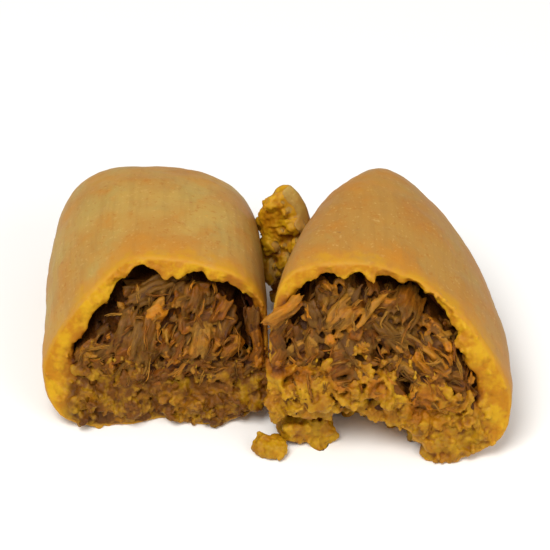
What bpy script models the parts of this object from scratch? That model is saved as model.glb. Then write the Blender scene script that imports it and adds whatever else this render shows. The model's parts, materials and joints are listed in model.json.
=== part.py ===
"""A tamale, out of its husk, broken in two across the middle and opened towards the viewer.

Two halves stand side by side on their flat undersides, with both broken ends to the front.
Each half is a crust of corn dough around a plug of shredded beef that runs back to the closed end.
A torn strip of crust stands in the gap behind, and two lumps of dough lie at the front.

Frame: +X to the viewer's right, -Y towards the viewer, +Z up, origin under the middle on the floor.
Blender units are metres.
"""

import math
from dataclasses import dataclass

import bmesh
import bpy
import numpy as np
from mathutils import Vector, noise

MM = 0.001

# Mesh fineness
AROUND = 48           # points round each section
OUTER_RINGS = 13      # rings of the outside, from the break to the closed end
INNER_RINGS = 8       # rings of the hollow that holds the meat
CAP_RINGS = 6         # rings of the meat's front
LUMP_FINENESS = 3     # subdivisions of the ball behind each lump

# Sizes that both halves share
FIT_GAP = 0.3 * MM    # clearance between the dough and the meat
END_WALL = 9 * MM     # dough left at the closed end
SINK = 0.7 * MM       # how far the round underside is flattened by its own weight
END_WAIST = 0.85      # height of the closed end's tip, as a share of the waist's height
HAND_FORMED = 0.35 * MM  # unevenness of a skin formed by hand
HAND_SPAN = 14 * MM   # distance over which that unevenness changes
ROOF_GAP = 3.2 * MM   # shrinkage gap over the meat at the break
ROOF_GAP_REACH = 0.3  # share of the length that the gap reaches in
LIP = 0.7 * MM        # how far the middle of the broken wall stands forward
LIP_UNEVEN = 0.8 * MM    # unevenness of that
LIP_SPAN = 3.0        # points round the section over which it changes

# The meat's front
MEAT_SET_BACK = 0.4 * MM  # how far the meat's edge sits behind the broken dough
ROOF_SET_BACK = 3.0 * MM  # how much further back it sits under the roof
MEAT_TEAR_SHARE = 0.4     # the meat follows the tears in the dough by this share
RELIEF = 1.1 * MM     # unevenness of the front
RELIEF_SPAN = 5 * MM  # distance over which it changes

# The notch under the tapered half, where the bottom crust has fallen out
NOTCH_PLACE = Vector((12.0, -2.0, 0.5)) * MM
NOTCH_RADII = Vector((17.0, 17.0, 8.8)) * MM

# Torn dough is a ball pushed towards a box, uneven in large and in small
BOXINESS = 2.8
LARGE_BUMPS, LARGE_BUMP_RATE = 0.16, 1.6
SMALL_BUMPS, SMALL_BUMP_RATE = 0.06, 3.2

DOUGH_COLOUR = (0.53, 0.30, 0.08)
TORN_COLOUR = (0.62, 0.32, 0.05)
MEAT_COLOUR = (0.17, 0.06, 0.015)
DOUGH_ROUGHNESS, TORN_ROUGHNESS, MEAT_ROUGHNESS = 0.55, 0.7, 0.5


@dataclass
class Half:
    """One half of the tamale. Reaches and walls run right, up, left and down from the ridge line."""

    name: str
    place: tuple       # where the ridge line crosses the bottom of the break, seen from above
    length: float      # from the bottom of the break to the closed end
    reach: tuple       # of the outside, from the ridge line at waist height
    bulge: tuple       # exponent of each quarter at the break: 2 is an ellipse, more is boxier
    end_bulge: tuple   # the same exponents at the closed end
    wall: tuple        # thickness of the dough
    lean: float        # how much further back the top of the break is than its bottom
    width_power: float   # bluntness of the closed end, seen from above
    height_power: float  # bluntness of the closed end, seen from the side
    drift: float       # how far the ridge line moves to the right on its way back
    dome: float        # how far the meat bulges out of the break
    tears: tuple       # (direction in degrees, spread in degrees, depth) round the break


BLUNT = Half(
    name="blunt_half",
    place=(-27.0 * MM, 11.2 * MM),
    length=61 * MM,
    reach=(25.5 * MM, 22.2 * MM, 20.7 * MM, 13 * MM),
    bulge=(3.5, 1.4, 2.8, 3.6),
    end_bulge=(2.6, 2.7, 2.6, 3.0),
    wall=(3.2 * MM, 3.2 * MM, 6.0 * MM, 10.5 * MM),
    lean=12 * MM,
    width_power=4.2,
    height_power=2.7,
    drift=-1.2 * MM,
    dome=4.0 * MM,
    tears=((50, 14, -1.4 * MM), (100, 8, 1.3 * MM), (215, 16, -1.8 * MM), (285, 18, 2.2 * MM)),
)

TAPERED = Half(
    name="tapered_half",
    place=(17.3 * MM, 0.0),
    length=65 * MM,
    reach=(30.0 * MM, 26.5 * MM, 18.9 * MM, 14 * MM),
    bulge=(1.5, 4.4, 3.4, 3.4),
    end_bulge=(1.5, 1.7, 3.0, 3.0),
    wall=(6.4 * MM, 3.2 * MM, 3.0 * MM, 11.0 * MM),
    lean=15 * MM,
    width_power=1.85,
    height_power=3.0,
    drift=5.8 * MM,
    dome=4.5 * MM,
    tears=((165, 14, 2.0 * MM), (225, 20, 2.5 * MM), (62, 10, 1.2 * MM), (20, 14, -1.2 * MM)),
)


@dataclass
class Lump:
    """A torn piece of dough, flat where it stands."""

    name: str
    place: Vector
    radii: Vector
    turn: float        # lean to the right, in degrees
    taper: float       # share of its width that is gone at the top
    seed: float        # picks the unevenness


LUMPS = [
    Lump("torn_crust_strip", Vector((2.9, 51.5, 14.9)) * MM, Vector((6.2, 3.4, 16.0)) * MM, -8, 0.10, 3.0),
    Lump("dough_lump_wide", Vector((6.2, 8.2, 2.7)) * MM, Vector((6.0, 3.4, 2.9)) * MM, 6, 0.0, 7.0),
    Lump("dough_lump_small", Vector((-0.6, 3.0, 1.5)) * MM, Vector((2.8, 2.3, 1.9)) * MM, 0, 0.0, 11.0),
]


def signed_power(values, power):
    return np.sign(values) * np.abs(values) ** power


def section(reach, bulge):
    """Evenly spaced (x, z) points round a four-quarter section, from its right end anticlockwise."""
    right, up, left, down = reach
    angle = np.linspace(0.0, 2 * math.pi, 8 * AROUND + 1)
    quarter = np.minimum((angle / (math.pi / 2)).astype(int), 3)
    power = 2.0 / np.array(bulge)[quarter]
    wide = np.where(np.cos(angle) >= 0, right, left)
    tall = np.where(np.sin(angle) >= 0, up, down)
    outline = np.stack(
        [wide * signed_power(np.cos(angle), power), tall * signed_power(np.sin(angle), power)], axis=1
    )
    steps = np.linalg.norm(np.diff(outline, axis=0), axis=1)
    walked = np.concatenate([[0.0], np.cumsum(steps)])
    stops = np.linspace(0.0, walked[-1], AROUND, endpoint=False)
    return np.stack([np.interp(stops, walked, outline[:, k]) for k in range(2)], axis=1)


def narrowing(along, power):
    """Share of the full size left at a share of the length, for a rounded closed end."""
    return (1.0 - along**power) ** (1.0 / power)


def waist(half, along):
    """Height of the section's middle, which drops a little as the closed end rounds off."""
    tall = narrowing(along, half.height_power)
    return half.reach[3] * (tall + END_WAIST * (1.0 - tall)) - SINK


def stations(count, power):
    """Shares of the length that put rings closer together where the closed end rounds off."""
    turn = np.linspace(0.0, math.pi / 2, count, endpoint=False)
    return np.sin(turn) ** (2.0 / power)


def end_point(half, end_inset):
    return np.array([half.drift, half.length - end_inset, waist(half, 1.0)])


def break_line(half, points, torn_share):
    """How far back the broken edge is at each (x, z) point of a section, with a share of the tears."""
    height = half.reach[1] + half.reach[3]
    direction = np.degrees(np.arctan2(points[:, 1], points[:, 0])) % 360
    back = half.lean * (points[:, 1] + half.reach[3]) / height
    for middle, spread, depth in half.tears:
        away = (direction - middle + 180) % 360 - 180
        back = back + torn_share * depth * np.exp(-((away / spread) ** 2))
    return back


def ring(half, inset, end_inset, along, torn_share=1.0):
    """One ring of the half, its four reaches shortened by inset, at a share of the way to the closed end."""
    bulge = [a + (b - a) * along for a, b in zip(half.bulge, half.end_bulge)]
    outline = section([full - cut for full, cut in zip(half.reach, inset)], bulge)
    start = break_line(half, outline, torn_share)
    points = np.empty((AROUND, 3))
    points[:, 0] = half.drift * along + narrowing(along, half.width_power) * outline[:, 0]
    points[:, 1] = start + (half.length - end_inset - start) * along
    points[:, 2] = waist(half, along) + narrowing(along, half.height_power) * outline[:, 1]
    return points


def hand_formed(points):
    """Moves points in and out a little, as a hand and a husk leave dough."""
    middle = points.mean(axis=0)
    for point in points:
        outward = point - middle
        outward[1] = 0.0
        size = np.linalg.norm(outward)
        point += outward / size * HAND_FORMED * noise.noise(Vector(point) / HAND_SPAN)
    return points


def crust_rings(half):
    """Rings over the outside from the closed end to the break, and back down the hollow."""
    bare = (0.0, 0.0, 0.0, 0.0)
    outside = [hand_formed(ring(half, bare, 0.0, along)) for along in stations(OUTER_RINGS, half.width_power)]
    hollow = [ring(half, half.wall, END_WALL, along) for along in stations(INNER_RINGS, half.width_power)]
    lip = (outside[0] + hollow[0]) / 2
    for k, point in enumerate(lip):
        point[1] -= LIP + LIP_UNEVEN * noise.noise(Vector((k / LIP_SPAN, half.length / MM, 0)))
    return outside[::-1] + [lip] + hollow


def meat_rings(half):
    """Rings of the meat from its closed end to the front, then over the bulging front, and its nose."""
    body = []
    for along in stations(INNER_RINGS, half.width_power):
        inset = [wall + FIT_GAP for wall in half.wall]
        inset[1] += ROOF_GAP * max(0.0, 1.0 - along / ROOF_GAP_REACH)
        body.append(ring(half, inset, END_WALL + FIT_GAP, along, MEAT_TEAR_SHARE))
    edge = body[0]
    height = (edge[:, 2] - edge[:, 2].min()) / np.ptp(edge[:, 2])
    edge[:, 1] += MEAT_SET_BACK + ROOF_SET_BACK * height**2
    middle = edge.mean(axis=0)
    front = []
    for step in range(1, CAP_RINGS):
        turn = math.pi / 2 * step / CAP_RINGS
        inner = middle + (edge - middle) * math.cos(turn)
        inner[:, 1] -= half.dome * math.sin(turn)
        for point in inner:
            point[1] += RELIEF * noise.noise(Vector(point) / RELIEF_SPAN)
        front.append(inner)
    nose = middle - np.array([0.0, half.dome, 0.0])
    return body[::-1] + front, nose


def loft(name, first, rings, last, material):
    """A closed surface through the rings, ending in a point at each end, flat where it stands."""
    shape = bmesh.new()
    rows = [[shape.verts.new((x, y, max(z, 0.0))) for x, y, z in points] for points in rings]
    for point, row in ((first, rows[0]), (last, rows[-1])):
        tip = shape.verts.new(point)
        for k in range(AROUND):
            shape.faces.new((tip, row[k], row[(k + 1) % AROUND]))
    for row, following in zip(rows, rows[1:]):
        for k in range(AROUND):
            after = (k + 1) % AROUND
            shape.faces.new((row[k], row[after], following[after], following[k]))
    bmesh.ops.recalc_face_normals(shape, faces=shape.faces)
    return finished(name, shape, material)


def crust(half, material):
    tips = end_point(half, 0.0), end_point(half, END_WALL)
    piece = loft("crust_" + half.name, tips[0], crust_rings(half), tips[1], material)
    piece.location = (*half.place, 0.0)
    return piece


def meat(half, material):
    rings, nose = meat_rings(half)
    piece = loft("beef_" + half.name, end_point(half, END_WALL + FIT_GAP), rings, nose, material)
    piece.location = (*half.place, 0.0)
    return piece


def torn_ball(radii, seed):
    """An uneven ball, pushed towards a box and stretched to its radii."""
    shape = bmesh.new()
    bmesh.ops.create_icosphere(shape, subdivisions=LUMP_FINENESS, radius=1.0)
    for vert in shape.verts:
        away = vert.co.normalized()
        size = sum(abs(a) ** BOXINESS for a in away) ** (-1.0 / BOXINESS)
        size *= 1.0 + LARGE_BUMPS * noise.noise(away * LARGE_BUMP_RATE + Vector((seed, 0, 0)))
        size *= 1.0 + SMALL_BUMPS * noise.noise(away * SMALL_BUMP_RATE + Vector((0, seed, 0)))
        vert.co = Vector(a * b for a, b in zip(away, radii)) * size
    return shape


def torn_dough(lump, material):
    shape = torn_ball(lump.radii, lump.seed)
    lean = math.radians(lump.turn)
    upright = Vector((0, 0, 1)).rotation_difference(Vector((math.sin(lean), 0, math.cos(lean))))
    for vert in shape.verts:
        slim = 1.0 - lump.taper * (vert.co.z / lump.radii.z + 1.0) / 2
        vert.co.x *= slim
        vert.co.y *= slim
        vert.co.rotate(upright)
        vert.co.z = max(vert.co.z, -lump.place.z)
    piece = finished(lump.name, shape, material)
    piece.location = lump.place
    return piece


def cut_notch(piece, cutters):
    """Takes the fallen piece of crust out from under the tapered half."""
    cutter = finished("notch_cutter", torn_ball(NOTCH_RADII, seed=4.0))
    cutter.location = NOTCH_PLACE
    cutter.hide_render = True
    cutter.display_type = "WIRE"
    cutters.objects.link(cutter)
    cut = piece.modifiers.new("notch", "BOOLEAN")
    cut.operation = "DIFFERENCE"
    cut.solver = "EXACT"
    cut.object = cutter
    return cutter


def finished(name, shape, material=None):
    mesh = bpy.data.meshes.new(name)
    shape.to_mesh(mesh)
    shape.free()
    mesh.materials.append(material)
    mesh.shade_smooth()
    mesh.set_sharp_from_angle(angle=math.radians(50))
    return bpy.data.objects.new(name, mesh)


def plain_material(name, colour, roughness):
    material = bpy.data.materials.new(name)
    material.use_nodes = True
    surface = material.node_tree.nodes["Principled BSDF"]
    surface.inputs["Base Color"].default_value = (*colour, 1.0)
    surface.inputs["Roughness"].default_value = roughness
    surface.inputs["Metallic"].default_value = 0.0
    return material


def stand_over_origin(parts, cutters):
    """Moves everything sideways so that the origin is under the middle of the whole."""
    bpy.context.view_layer.update()
    corners = np.array([part.matrix_world @ Vector(corner) for part in parts for corner in part.bound_box])
    middle = (corners.min(axis=0) + corners.max(axis=0)) / 2
    for piece in [*parts, *cutters]:
        piece.location.x -= middle[0]
        piece.location.y -= middle[1]


def main():
    for old in list(bpy.data.objects):
        bpy.data.objects.remove(old, do_unlink=True)
    tamale = bpy.data.collections.new("tamale")
    cutters = bpy.data.collections.new("cutters")
    for group in (tamale, cutters):
        bpy.context.scene.collection.children.link(group)

    dough = plain_material("corn_dough", DOUGH_COLOUR, DOUGH_ROUGHNESS)
    torn = plain_material("torn_corn_dough", TORN_COLOUR, TORN_ROUGHNESS)
    beef = plain_material("shredded_beef", MEAT_COLOUR, MEAT_ROUGHNESS)

    tapered_crust = crust(TAPERED, dough)
    parts = [crust(BLUNT, dough), meat(BLUNT, beef), tapered_crust, meat(TAPERED, beef)]
    parts += [torn_dough(lump, torn) for lump in LUMPS]
    for part in parts:
        tamale.objects.link(part)
    notch = cut_notch(tapered_crust, cutters)
    stand_over_origin(parts, [notch])


main()
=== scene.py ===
# %% [markdown]
# # A tamale, broken open
#
# A tamale is corn dough, called masa, steamed round a filling inside a maize husk. This one is
# out of its husk and broken across the middle, and both broken ends face us: a smooth tan skin
# outside, a torn yellow crust, and shredded beef inside.
#
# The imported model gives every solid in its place. Each soft solid is replaced by a detailed piece
# that is grown from a copy of it, so that nothing moves and nothing changes size.

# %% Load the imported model
import json
import math
import random
from dataclasses import dataclass

import bmesh
import bpy
import numpy as np
from mathutils import Matrix, Vector, noise as solid_noise
from mathutils.bvhtree import BVHTree

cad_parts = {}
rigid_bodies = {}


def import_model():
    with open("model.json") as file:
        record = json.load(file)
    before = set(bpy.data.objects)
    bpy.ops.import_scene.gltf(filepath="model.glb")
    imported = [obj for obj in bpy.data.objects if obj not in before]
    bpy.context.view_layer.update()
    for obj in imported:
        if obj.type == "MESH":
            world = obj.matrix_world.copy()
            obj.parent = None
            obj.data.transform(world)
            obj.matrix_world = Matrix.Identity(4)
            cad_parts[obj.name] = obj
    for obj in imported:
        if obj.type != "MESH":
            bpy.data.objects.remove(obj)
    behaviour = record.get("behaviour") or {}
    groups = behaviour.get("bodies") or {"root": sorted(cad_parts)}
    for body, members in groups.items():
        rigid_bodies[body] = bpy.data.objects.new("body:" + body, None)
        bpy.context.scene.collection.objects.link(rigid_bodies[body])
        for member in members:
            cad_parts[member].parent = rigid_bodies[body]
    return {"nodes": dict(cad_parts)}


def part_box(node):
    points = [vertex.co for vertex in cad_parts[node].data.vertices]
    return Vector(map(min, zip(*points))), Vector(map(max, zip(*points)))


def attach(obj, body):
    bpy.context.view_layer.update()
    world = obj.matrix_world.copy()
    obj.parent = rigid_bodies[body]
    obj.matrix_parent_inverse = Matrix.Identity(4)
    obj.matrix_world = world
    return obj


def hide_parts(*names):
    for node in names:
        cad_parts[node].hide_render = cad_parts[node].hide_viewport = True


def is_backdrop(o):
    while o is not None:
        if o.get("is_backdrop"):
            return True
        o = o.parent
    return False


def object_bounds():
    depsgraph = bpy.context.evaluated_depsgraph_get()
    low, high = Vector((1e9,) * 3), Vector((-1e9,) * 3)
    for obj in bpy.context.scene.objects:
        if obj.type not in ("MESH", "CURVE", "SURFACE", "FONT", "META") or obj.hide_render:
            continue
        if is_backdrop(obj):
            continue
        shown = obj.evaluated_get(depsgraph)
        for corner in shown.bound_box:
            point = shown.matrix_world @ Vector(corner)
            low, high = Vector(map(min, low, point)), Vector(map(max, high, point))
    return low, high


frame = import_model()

MM = 0.001  # the scene is in metres, and food is thought of in millimetres

cad_low, cad_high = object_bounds()
middle = (cad_low + cad_high) / 2
print("the solids span, in mm:", [round(s / MM, 1) for s in cad_high - cad_low])

# %% [markdown]
# ## Where we look from
#
# Food is usually shown from about the height of someone who is about to eat it. Here the eye is
# 38 degrees above the table, straight in front of the two broken ends. A long lens from 60 cm
# away keeps the two halves in proportion. Two directions are kept for later: towards the viewer,
# and "up" as the viewer sees it.

# %% Place the camera
VIEW_HEIGHT = math.radians(38)
VIEW_DISTANCE = 600 * MM
FILLED = 0.84  # how much of the picture's width the tamale takes
FILM = 36  # the camera's film width, in its own millimetres

to_viewer = Vector((0, -math.cos(VIEW_HEIGHT), math.sin(VIEW_HEIGHT)))
seen_up = Vector((0, math.sin(VIEW_HEIGHT), math.cos(VIEW_HEIGHT)))

lens = bpy.data.cameras.new("camera")
lens.sensor_width = FILM
lens.lens = FILM * VIEW_DISTANCE * FILLED / (cad_high.x - cad_low.x)
camera = bpy.data.objects.new("camera", lens)
camera.location = middle + to_viewer * VIEW_DISTANCE
camera.rotation_euler = (math.pi / 2 - VIEW_HEIGHT, 0, 0)
bpy.context.scene.collection.objects.link(camera)
bpy.context.scene.camera = camera
bpy.context.scene.view_settings.view_transform = "Standard"
print("lens:", round(lens.lens), "mm")

# %% [markdown]
# ## A plain floor and soft light
#
# A pale floor and a bright room leave the food's own colours alone. One wide lamp high on the
# left models the forms, and a weaker one from the right opens the shadows. Both are much wider
# than the tamale, so their shadows are soft.

# %% Light the table
def lamp(name, place, width, watts, colour):
    """Hangs a square soft lamp at a place and turns it to the middle of the tamale."""
    light = bpy.data.lights.new(name, "AREA")
    light.shape = "SQUARE"
    light.size = width
    light.energy = watts
    light.color = colour
    hung = bpy.data.objects.new(name, light)
    hung.location = place
    hung.rotation_euler = (middle - Vector(place)).to_track_quat("-Z", "Y").to_euler()
    bpy.context.scene.collection.objects.link(hung)


lamp("key_lamp", place=(-0.24, -0.40, 0.84), width=0.50, watts=8.4, colour=(1.0, 0.97, 0.93))
lamp("fill_lamp", place=(0.60, -0.50, 0.50), width=0.60, watts=3.1, colour=(1.0, 0.98, 0.95))

WHITE = (1, 1, 1, 1)
ROOM_LIGHT = 0.48
room = bpy.data.worlds.new("room")
room.use_nodes = True
background = room.node_tree.nodes["Background"]
background.inputs["Color"].default_value = WHITE
background.inputs["Strength"].default_value = ROOM_LIGHT
bpy.context.scene.world = room

# %% [markdown]
# ## Small tools for building node trees
#
# Shapes that repeat, and every finish, are built from nodes. A node can hold several sockets of
# one name, of which only those in use are enabled, so `socket` looks for an enabled one. `step`
# adds a node and fills its sockets in one line, which keeps the trees below readable.

# %% Node helpers
def socket(sockets, name):
    """Finds a socket by its number, or by its name among those that are in use."""
    if isinstance(name, int):
        return sockets[name]
    return next(s for s in sockets if s.name == name and s.enabled)


def step(tree, kind, inputs=None, **settings):
    """Adds a node with these settings, and fills or links each input. Returns the node."""
    node = tree.nodes.new(kind)
    for key, value in settings.items():
        setattr(node, key, value)
    for name, value in (inputs or {}).items():
        target = socket(node.inputs, name)
        if isinstance(value, bpy.types.Node):
            value = next(s for s in value.outputs if s.enabled)
        if isinstance(value, bpy.types.NodeSocket):
            tree.links.new(value, target)
        else:
            target.default_value = value
    return node


def maths(tree, operation, *values):
    """One Math node."""
    return step(tree, "ShaderNodeMath", dict(enumerate(values)), operation=operation)


def vectors(tree, operation, *values):
    """One Vector Math node."""
    return step(tree, "ShaderNodeVectorMath", dict(enumerate(values)), operation=operation)


def times(tree, *values):
    """The product of two or more numbers."""
    product = values[0]
    for value in values[1:]:
        product = maths(tree, "MULTIPLY", product, value)
    return product


def scaled(tree, vector, factor):
    """A vector made longer or shorter."""
    return step(tree, "ShaderNodeVectorMath", {0: vector, "Scale": factor}, operation="SCALE")


def ramp(tree, value, start, end, low=0.0, high=1.0):
    """Turns a value from start to end into one from low to high, with a smooth S between."""
    return step(tree, "ShaderNodeMapRange",
                {"Value": value, "From Min": start, "From Max": end,
                 "To Min": low, "To Max": high}, interpolation_type="SMOOTHSTEP")


# %% [markdown]
# ## Running a Geometry Nodes tree
#
# A tree is built once, with a named input for each size. `run_tree` puts it on a piece, sets
# those inputs, and keeps the evaluated result as a plain mesh, so no live modifier is left.
# Inputs are set through each socket's identifier, because a modifier doesn't know their names.
# Trees that repeat a shape end by making the repeats real and giving them their finish, so the
# finishes are named first and filled in later.

# %% Name the finishes
dough_finish = bpy.data.materials.new("masa_crust")
shred_finish = bpy.data.materials.new("beef_shreds")
core_finish = bpy.data.materials.new("beef_core")

# %% Geometry helpers
SOCKETS = {float: "NodeSocketFloat", int: "NodeSocketInt"}


def new_tree(name, **sizes):
    """A Geometry Nodes tree with a named input for each size. Returns it and its input node."""
    tree = bpy.data.node_groups.new(name, "GeometryNodeTree")
    tree.interface.new_socket("Geometry", in_out="INPUT", socket_type="NodeSocketGeometry")
    tree.interface.new_socket("Geometry", in_out="OUTPUT", socket_type="NodeSocketGeometry")
    for label, value in sizes.items():
        kind = SOCKETS.get(type(value), value)
        made = tree.interface.new_socket(label, in_out="INPUT", socket_type=kind)
        if type(value) in SOCKETS:
            made.default_value = value
    return tree, tree.nodes.new("NodeGroupInput")


def end_tree(tree, geometry, finish=None):
    """Links the last node to the tree's output. With a finish, instances become real mesh."""
    if finish:
        real = step(tree, "GeometryNodeRealizeInstances", {"Geometry": geometry})
        geometry = step(tree, "GeometryNodeSetMaterial", {"Geometry": real, "Material": finish})
    step(tree, "NodeGroupOutput", {"Geometry": geometry})


def keep_result(piece):
    """Replaces a piece's mesh with what its modifiers make of it, and removes them."""
    graph = bpy.context.evaluated_depsgraph_get()
    mesh = bpy.data.meshes.new_from_object(
        piece.evaluated_get(graph), preserve_all_data_layers=True, depsgraph=graph)
    piece.modifiers.clear()
    piece.data = mesh


def run_tree(piece, tree, **values):
    """Runs a tree on a piece with these inputs and keeps the result."""
    modifier = piece.modifiers.new(tree.name, "NODES")
    modifier.node_group = tree
    for item in tree.interface.items_tree:
        if item.in_out == "INPUT" and item.name in values:
            modifier[item.identifier] = values[item.name]
    keep_result(piece)


def linked(name, mesh):
    """A new object in the scene that holds this mesh."""
    piece = bpy.data.objects.new(name, mesh)
    bpy.context.scene.collection.objects.link(piece)
    return piece


def triangles(piece):
    """How many triangles a piece has."""
    piece.data.calc_loop_triangles()
    return len(piece.data.loop_triangles)


# %% [markdown]
# ## Growing a piece from its solid
#
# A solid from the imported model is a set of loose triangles, so its copy is merged first. Voxel
# remeshing then gives it an even skin of small faces, which can be shaped like dough, and a few
# rounds of smoothing take away the facets. Where two lumps almost touch, remeshing can leave a
# closed speck of a few faces behind, and those are deleted.

# %% Copies and even skins
SAME_SPOT = 0.001 * MM  # vertices closer than this are one
FEWEST = 24  # a part of a mesh with fewer vertices is a speck


def merged_copy(node, name):
    """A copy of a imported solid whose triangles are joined."""
    form = bmesh.new()
    form.from_mesh(frame["nodes"][node].data)
    bmesh.ops.remove_doubles(form, verts=form.verts, dist=SAME_SPOT)
    mesh = bpy.data.meshes.new(name)
    form.to_mesh(mesh)
    form.free()
    return linked(name, mesh)


def drop_specks(piece):
    """Deletes the parts of a mesh that have too few vertices to be a crumb."""
    form = bmesh.new()
    form.from_mesh(piece.data)
    specks = []
    for start in form.verts:
        if start.tag:
            continue
        start.tag = True
        found, waiting = [start], [start]
        while waiting:
            vertex = waiting.pop()
            for edge in vertex.link_edges:
                other = edge.other_vert(vertex)
                if not other.tag:
                    other.tag = True
                    found.append(other)
                    waiting.append(other)
        if len(found) < FEWEST:
            specks += found
    bmesh.ops.delete(form, geom=specks, context="VERTS")
    form.to_mesh(piece.data)
    form.free()


def even_skin(piece, size, rounds=0):
    """Remeshes a piece with faces of this size, then smooths it for some rounds."""
    remesh = piece.modifiers.new("even_skin", "REMESH")
    remesh.mode = "VOXEL"
    remesh.voxel_size = size
    if rounds:
        smooth = piece.modifiers.new("soften", "SMOOTH")
        smooth.factor = 0.5
        smooth.iterations = rounds
    keep_result(piece)
    drop_specks(piece)


def only_faces(piece, keep, name):
    """A new object with the faces of a piece for which keep(face) is true."""
    form = bmesh.new()
    form.from_mesh(piece.data)
    form.normal_update()
    bmesh.ops.delete(form, geom=[f for f in form.faces if not keep(f)], context="FACES")
    mesh = bpy.data.meshes.new(name)
    form.to_mesh(mesh)
    form.free()
    return linked(name, mesh)


# %% Read and write vertices
def places(mesh):
    """The vertices' places as an array."""
    found = np.empty(len(mesh.vertices) * 3)
    mesh.vertices.foreach_get("co", found)
    return found.reshape(-1, 3)


def move_to(piece, spots):
    """Moves every vertex to its new place."""
    piece.data.vertices.foreach_set("co", spots.ravel())
    piece.data.update()


def facings(mesh):
    """The vertices' normals as an array."""
    found = np.empty(len(mesh.vertices) * 3)
    mesh.vertex_normals.foreach_get("vector", found)
    return found.reshape(-1, 3)


def read_values(mesh, name):
    """One stored number per vertex as an array."""
    found = np.empty(len(mesh.vertices))
    mesh.attributes[name].data.foreach_get("value", found)
    return found


def write_values(piece, name, values, kind="FLOAT"):
    """Stores one number per vertex, or four for a turn."""
    mesh = piece.data
    if name in mesh.attributes:
        mesh.attributes.remove(mesh.attributes[name])
    made = mesh.attributes.new(name, kind, "POINT")
    flat = np.asarray(values, dtype=np.int32 if kind == "INT" else np.float32).ravel()
    made.data.foreach_set("value", flat)


def smooth_between(values, start, end):
    """0 below start, 1 above end, and a smooth S between."""
    t = np.clip((np.asarray(values) - start) / (end - start), 0, 1)
    return t * t * (3 - 2 * t)


# %% [markdown]
# ## How far is each point from something?
#
# Dough looks different at its skin, just under it, and next to the sauce. So the same small tree
# measures, for every vertex of a piece, how far it is from another object, and stores that as an
# attribute that both shapes and finishes can read.

# %% The tree that measures distances
def store(tree, geometry, name, value, kind="FLOAT"):
    """Stores a value at each point of the geometry."""
    return step(tree, "GeometryNodeStoreNamedAttribute",
                {"Geometry": geometry, "Name": name, "Value": value},
                data_type=kind, domain="POINT")


nearness, given = new_tree("nearness", Other="NodeSocketObject", Name="NodeSocketString")
other = step(nearness, "GeometryNodeObjectInfo", {"Object": given.outputs["Other"]},
             transform_space="RELATIVE")
gap = step(nearness, "GeometryNodeProximity", {"Geometry": other.outputs["Geometry"]},
           target_element="FACES")
end_tree(nearness, store(nearness, given.outputs["Geometry"], given.outputs["Name"],
                         gap.outputs["Distance"]))


def measure_distance(piece, other_piece, name):
    """Stores each vertex's distance to another object, in metres."""
    run_tree(piece, nearness, Other=other_piece, Name=name)
    return read_values(piece.data, name)


# %% [markdown]
# ## Crumbs on torn dough
#
# Steamed masa doesn't cut clean. It breaks into grains and small lumps that cling to the torn
# face, finer along the top and coarser at the bottom, where the crust is thick and moist. This
# tree scatters small bumpy balls over the torn faces and joins them to the piece. A second remesh
# melts them together, so they become relief, not loose balls.

# %% The tree that scatters crumbs
def stored_number(tree, name, kind="FLOAT"):
    """A stored attribute, read by a geometry tree."""
    return socket(step(tree, "GeometryNodeInputNamedAttribute", {"Name": name},
                       data_type=kind).outputs, "Attribute")


def chance(tree, low, high, seed):
    """A random number for each point or instance."""
    return step(tree, "FunctionNodeRandomValue", {"Min": low, "Max": high, "Seed": seed},
                data_type="FLOAT")


def chance_vector(tree, low, high, seed):
    """Three random numbers for each point or instance."""
    return step(tree, "FunctionNodeRandomValue", {"Min": low, "Max": high, "Seed": seed},
                data_type="FLOAT_VECTOR")


def between(tree, share, first, second):
    """A number between two others."""
    return step(tree, "ShaderNodeMix", {"Factor": share, "A": first, "B": second},
                data_type="FLOAT")


NO_TURN, FULL_TURN = (0, 0, 0), (2 * math.pi,) * 3
RARITY = 4.0  # the higher, the fewer crumbs are large
BALL = {"Segments": 8, "Rings": 5, "Radius": 1.0}
LARGE_BALL = {"Segments": 10, "Rings": 7, "Radius": 1.0}

crumbs, given = new_tree("crumbs", Density=1.0, Smallest=0.001, Largest=0.001, Top=0.1, Seed=1)
low = stored_number(crumbs, "low")
coarse = between(crumbs, low, given.outputs["Top"], 1.0)
wanted = times(crumbs, stored_number(crumbs, "torn"), coarse, given.outputs["Density"])
grains = step(crumbs, "GeometryNodeDistributePointsOnFaces",
              {"Mesh": given.outputs["Geometry"], "Density": wanted,
               "Seed": given.outputs["Seed"]}, distribute_method="RANDOM")
spread = maths(crumbs, "SUBTRACT", given.outputs["Largest"], given.outputs["Smallest"])
rare = times(crumbs, maths(crumbs, "POWER", chance(crumbs, 0.0, 1.0, 7), RARITY), coarse)
size = maths(crumbs, "MULTIPLY_ADD", rare, spread, given.outputs["Smallest"])
uneven = chance_vector(crumbs, (0.6, 0.6, 0.4), (1.5, 1.2, 1.0), 8)
ball = step(crumbs, "GeometryNodeMeshUVSphere", BALL)
heap = step(crumbs, "GeometryNodeInstanceOnPoints",
            {"Points": grains, "Instance": ball,
             "Rotation": chance_vector(crumbs, NO_TURN, FULL_TURN, 9),
             "Scale": scaled(crumbs, uneven, size)})
real = step(crumbs, "GeometryNodeRealizeInstances", {"Geometry": heap})


MID_GREY = (0.5, 0.5, 0.5)  # noise colours vary round this


def knead(tree, geometry, wavelength, height, detail=2.0):
    """Pushes points about at random, so that balls become lumps."""
    push = step(tree, "ShaderNodeTexNoise",
                {"Vector": step(tree, "GeometryNodeInputPosition"), "Scale": 1 / wavelength,
                 "Detail": detail}).outputs["Color"]
    centred = vectors(tree, "SUBTRACT", push, MID_GREY)
    return step(tree, "GeometryNodeSetPosition",
                {"Geometry": geometry, "Offset": scaled(tree, centred, height)})


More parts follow.
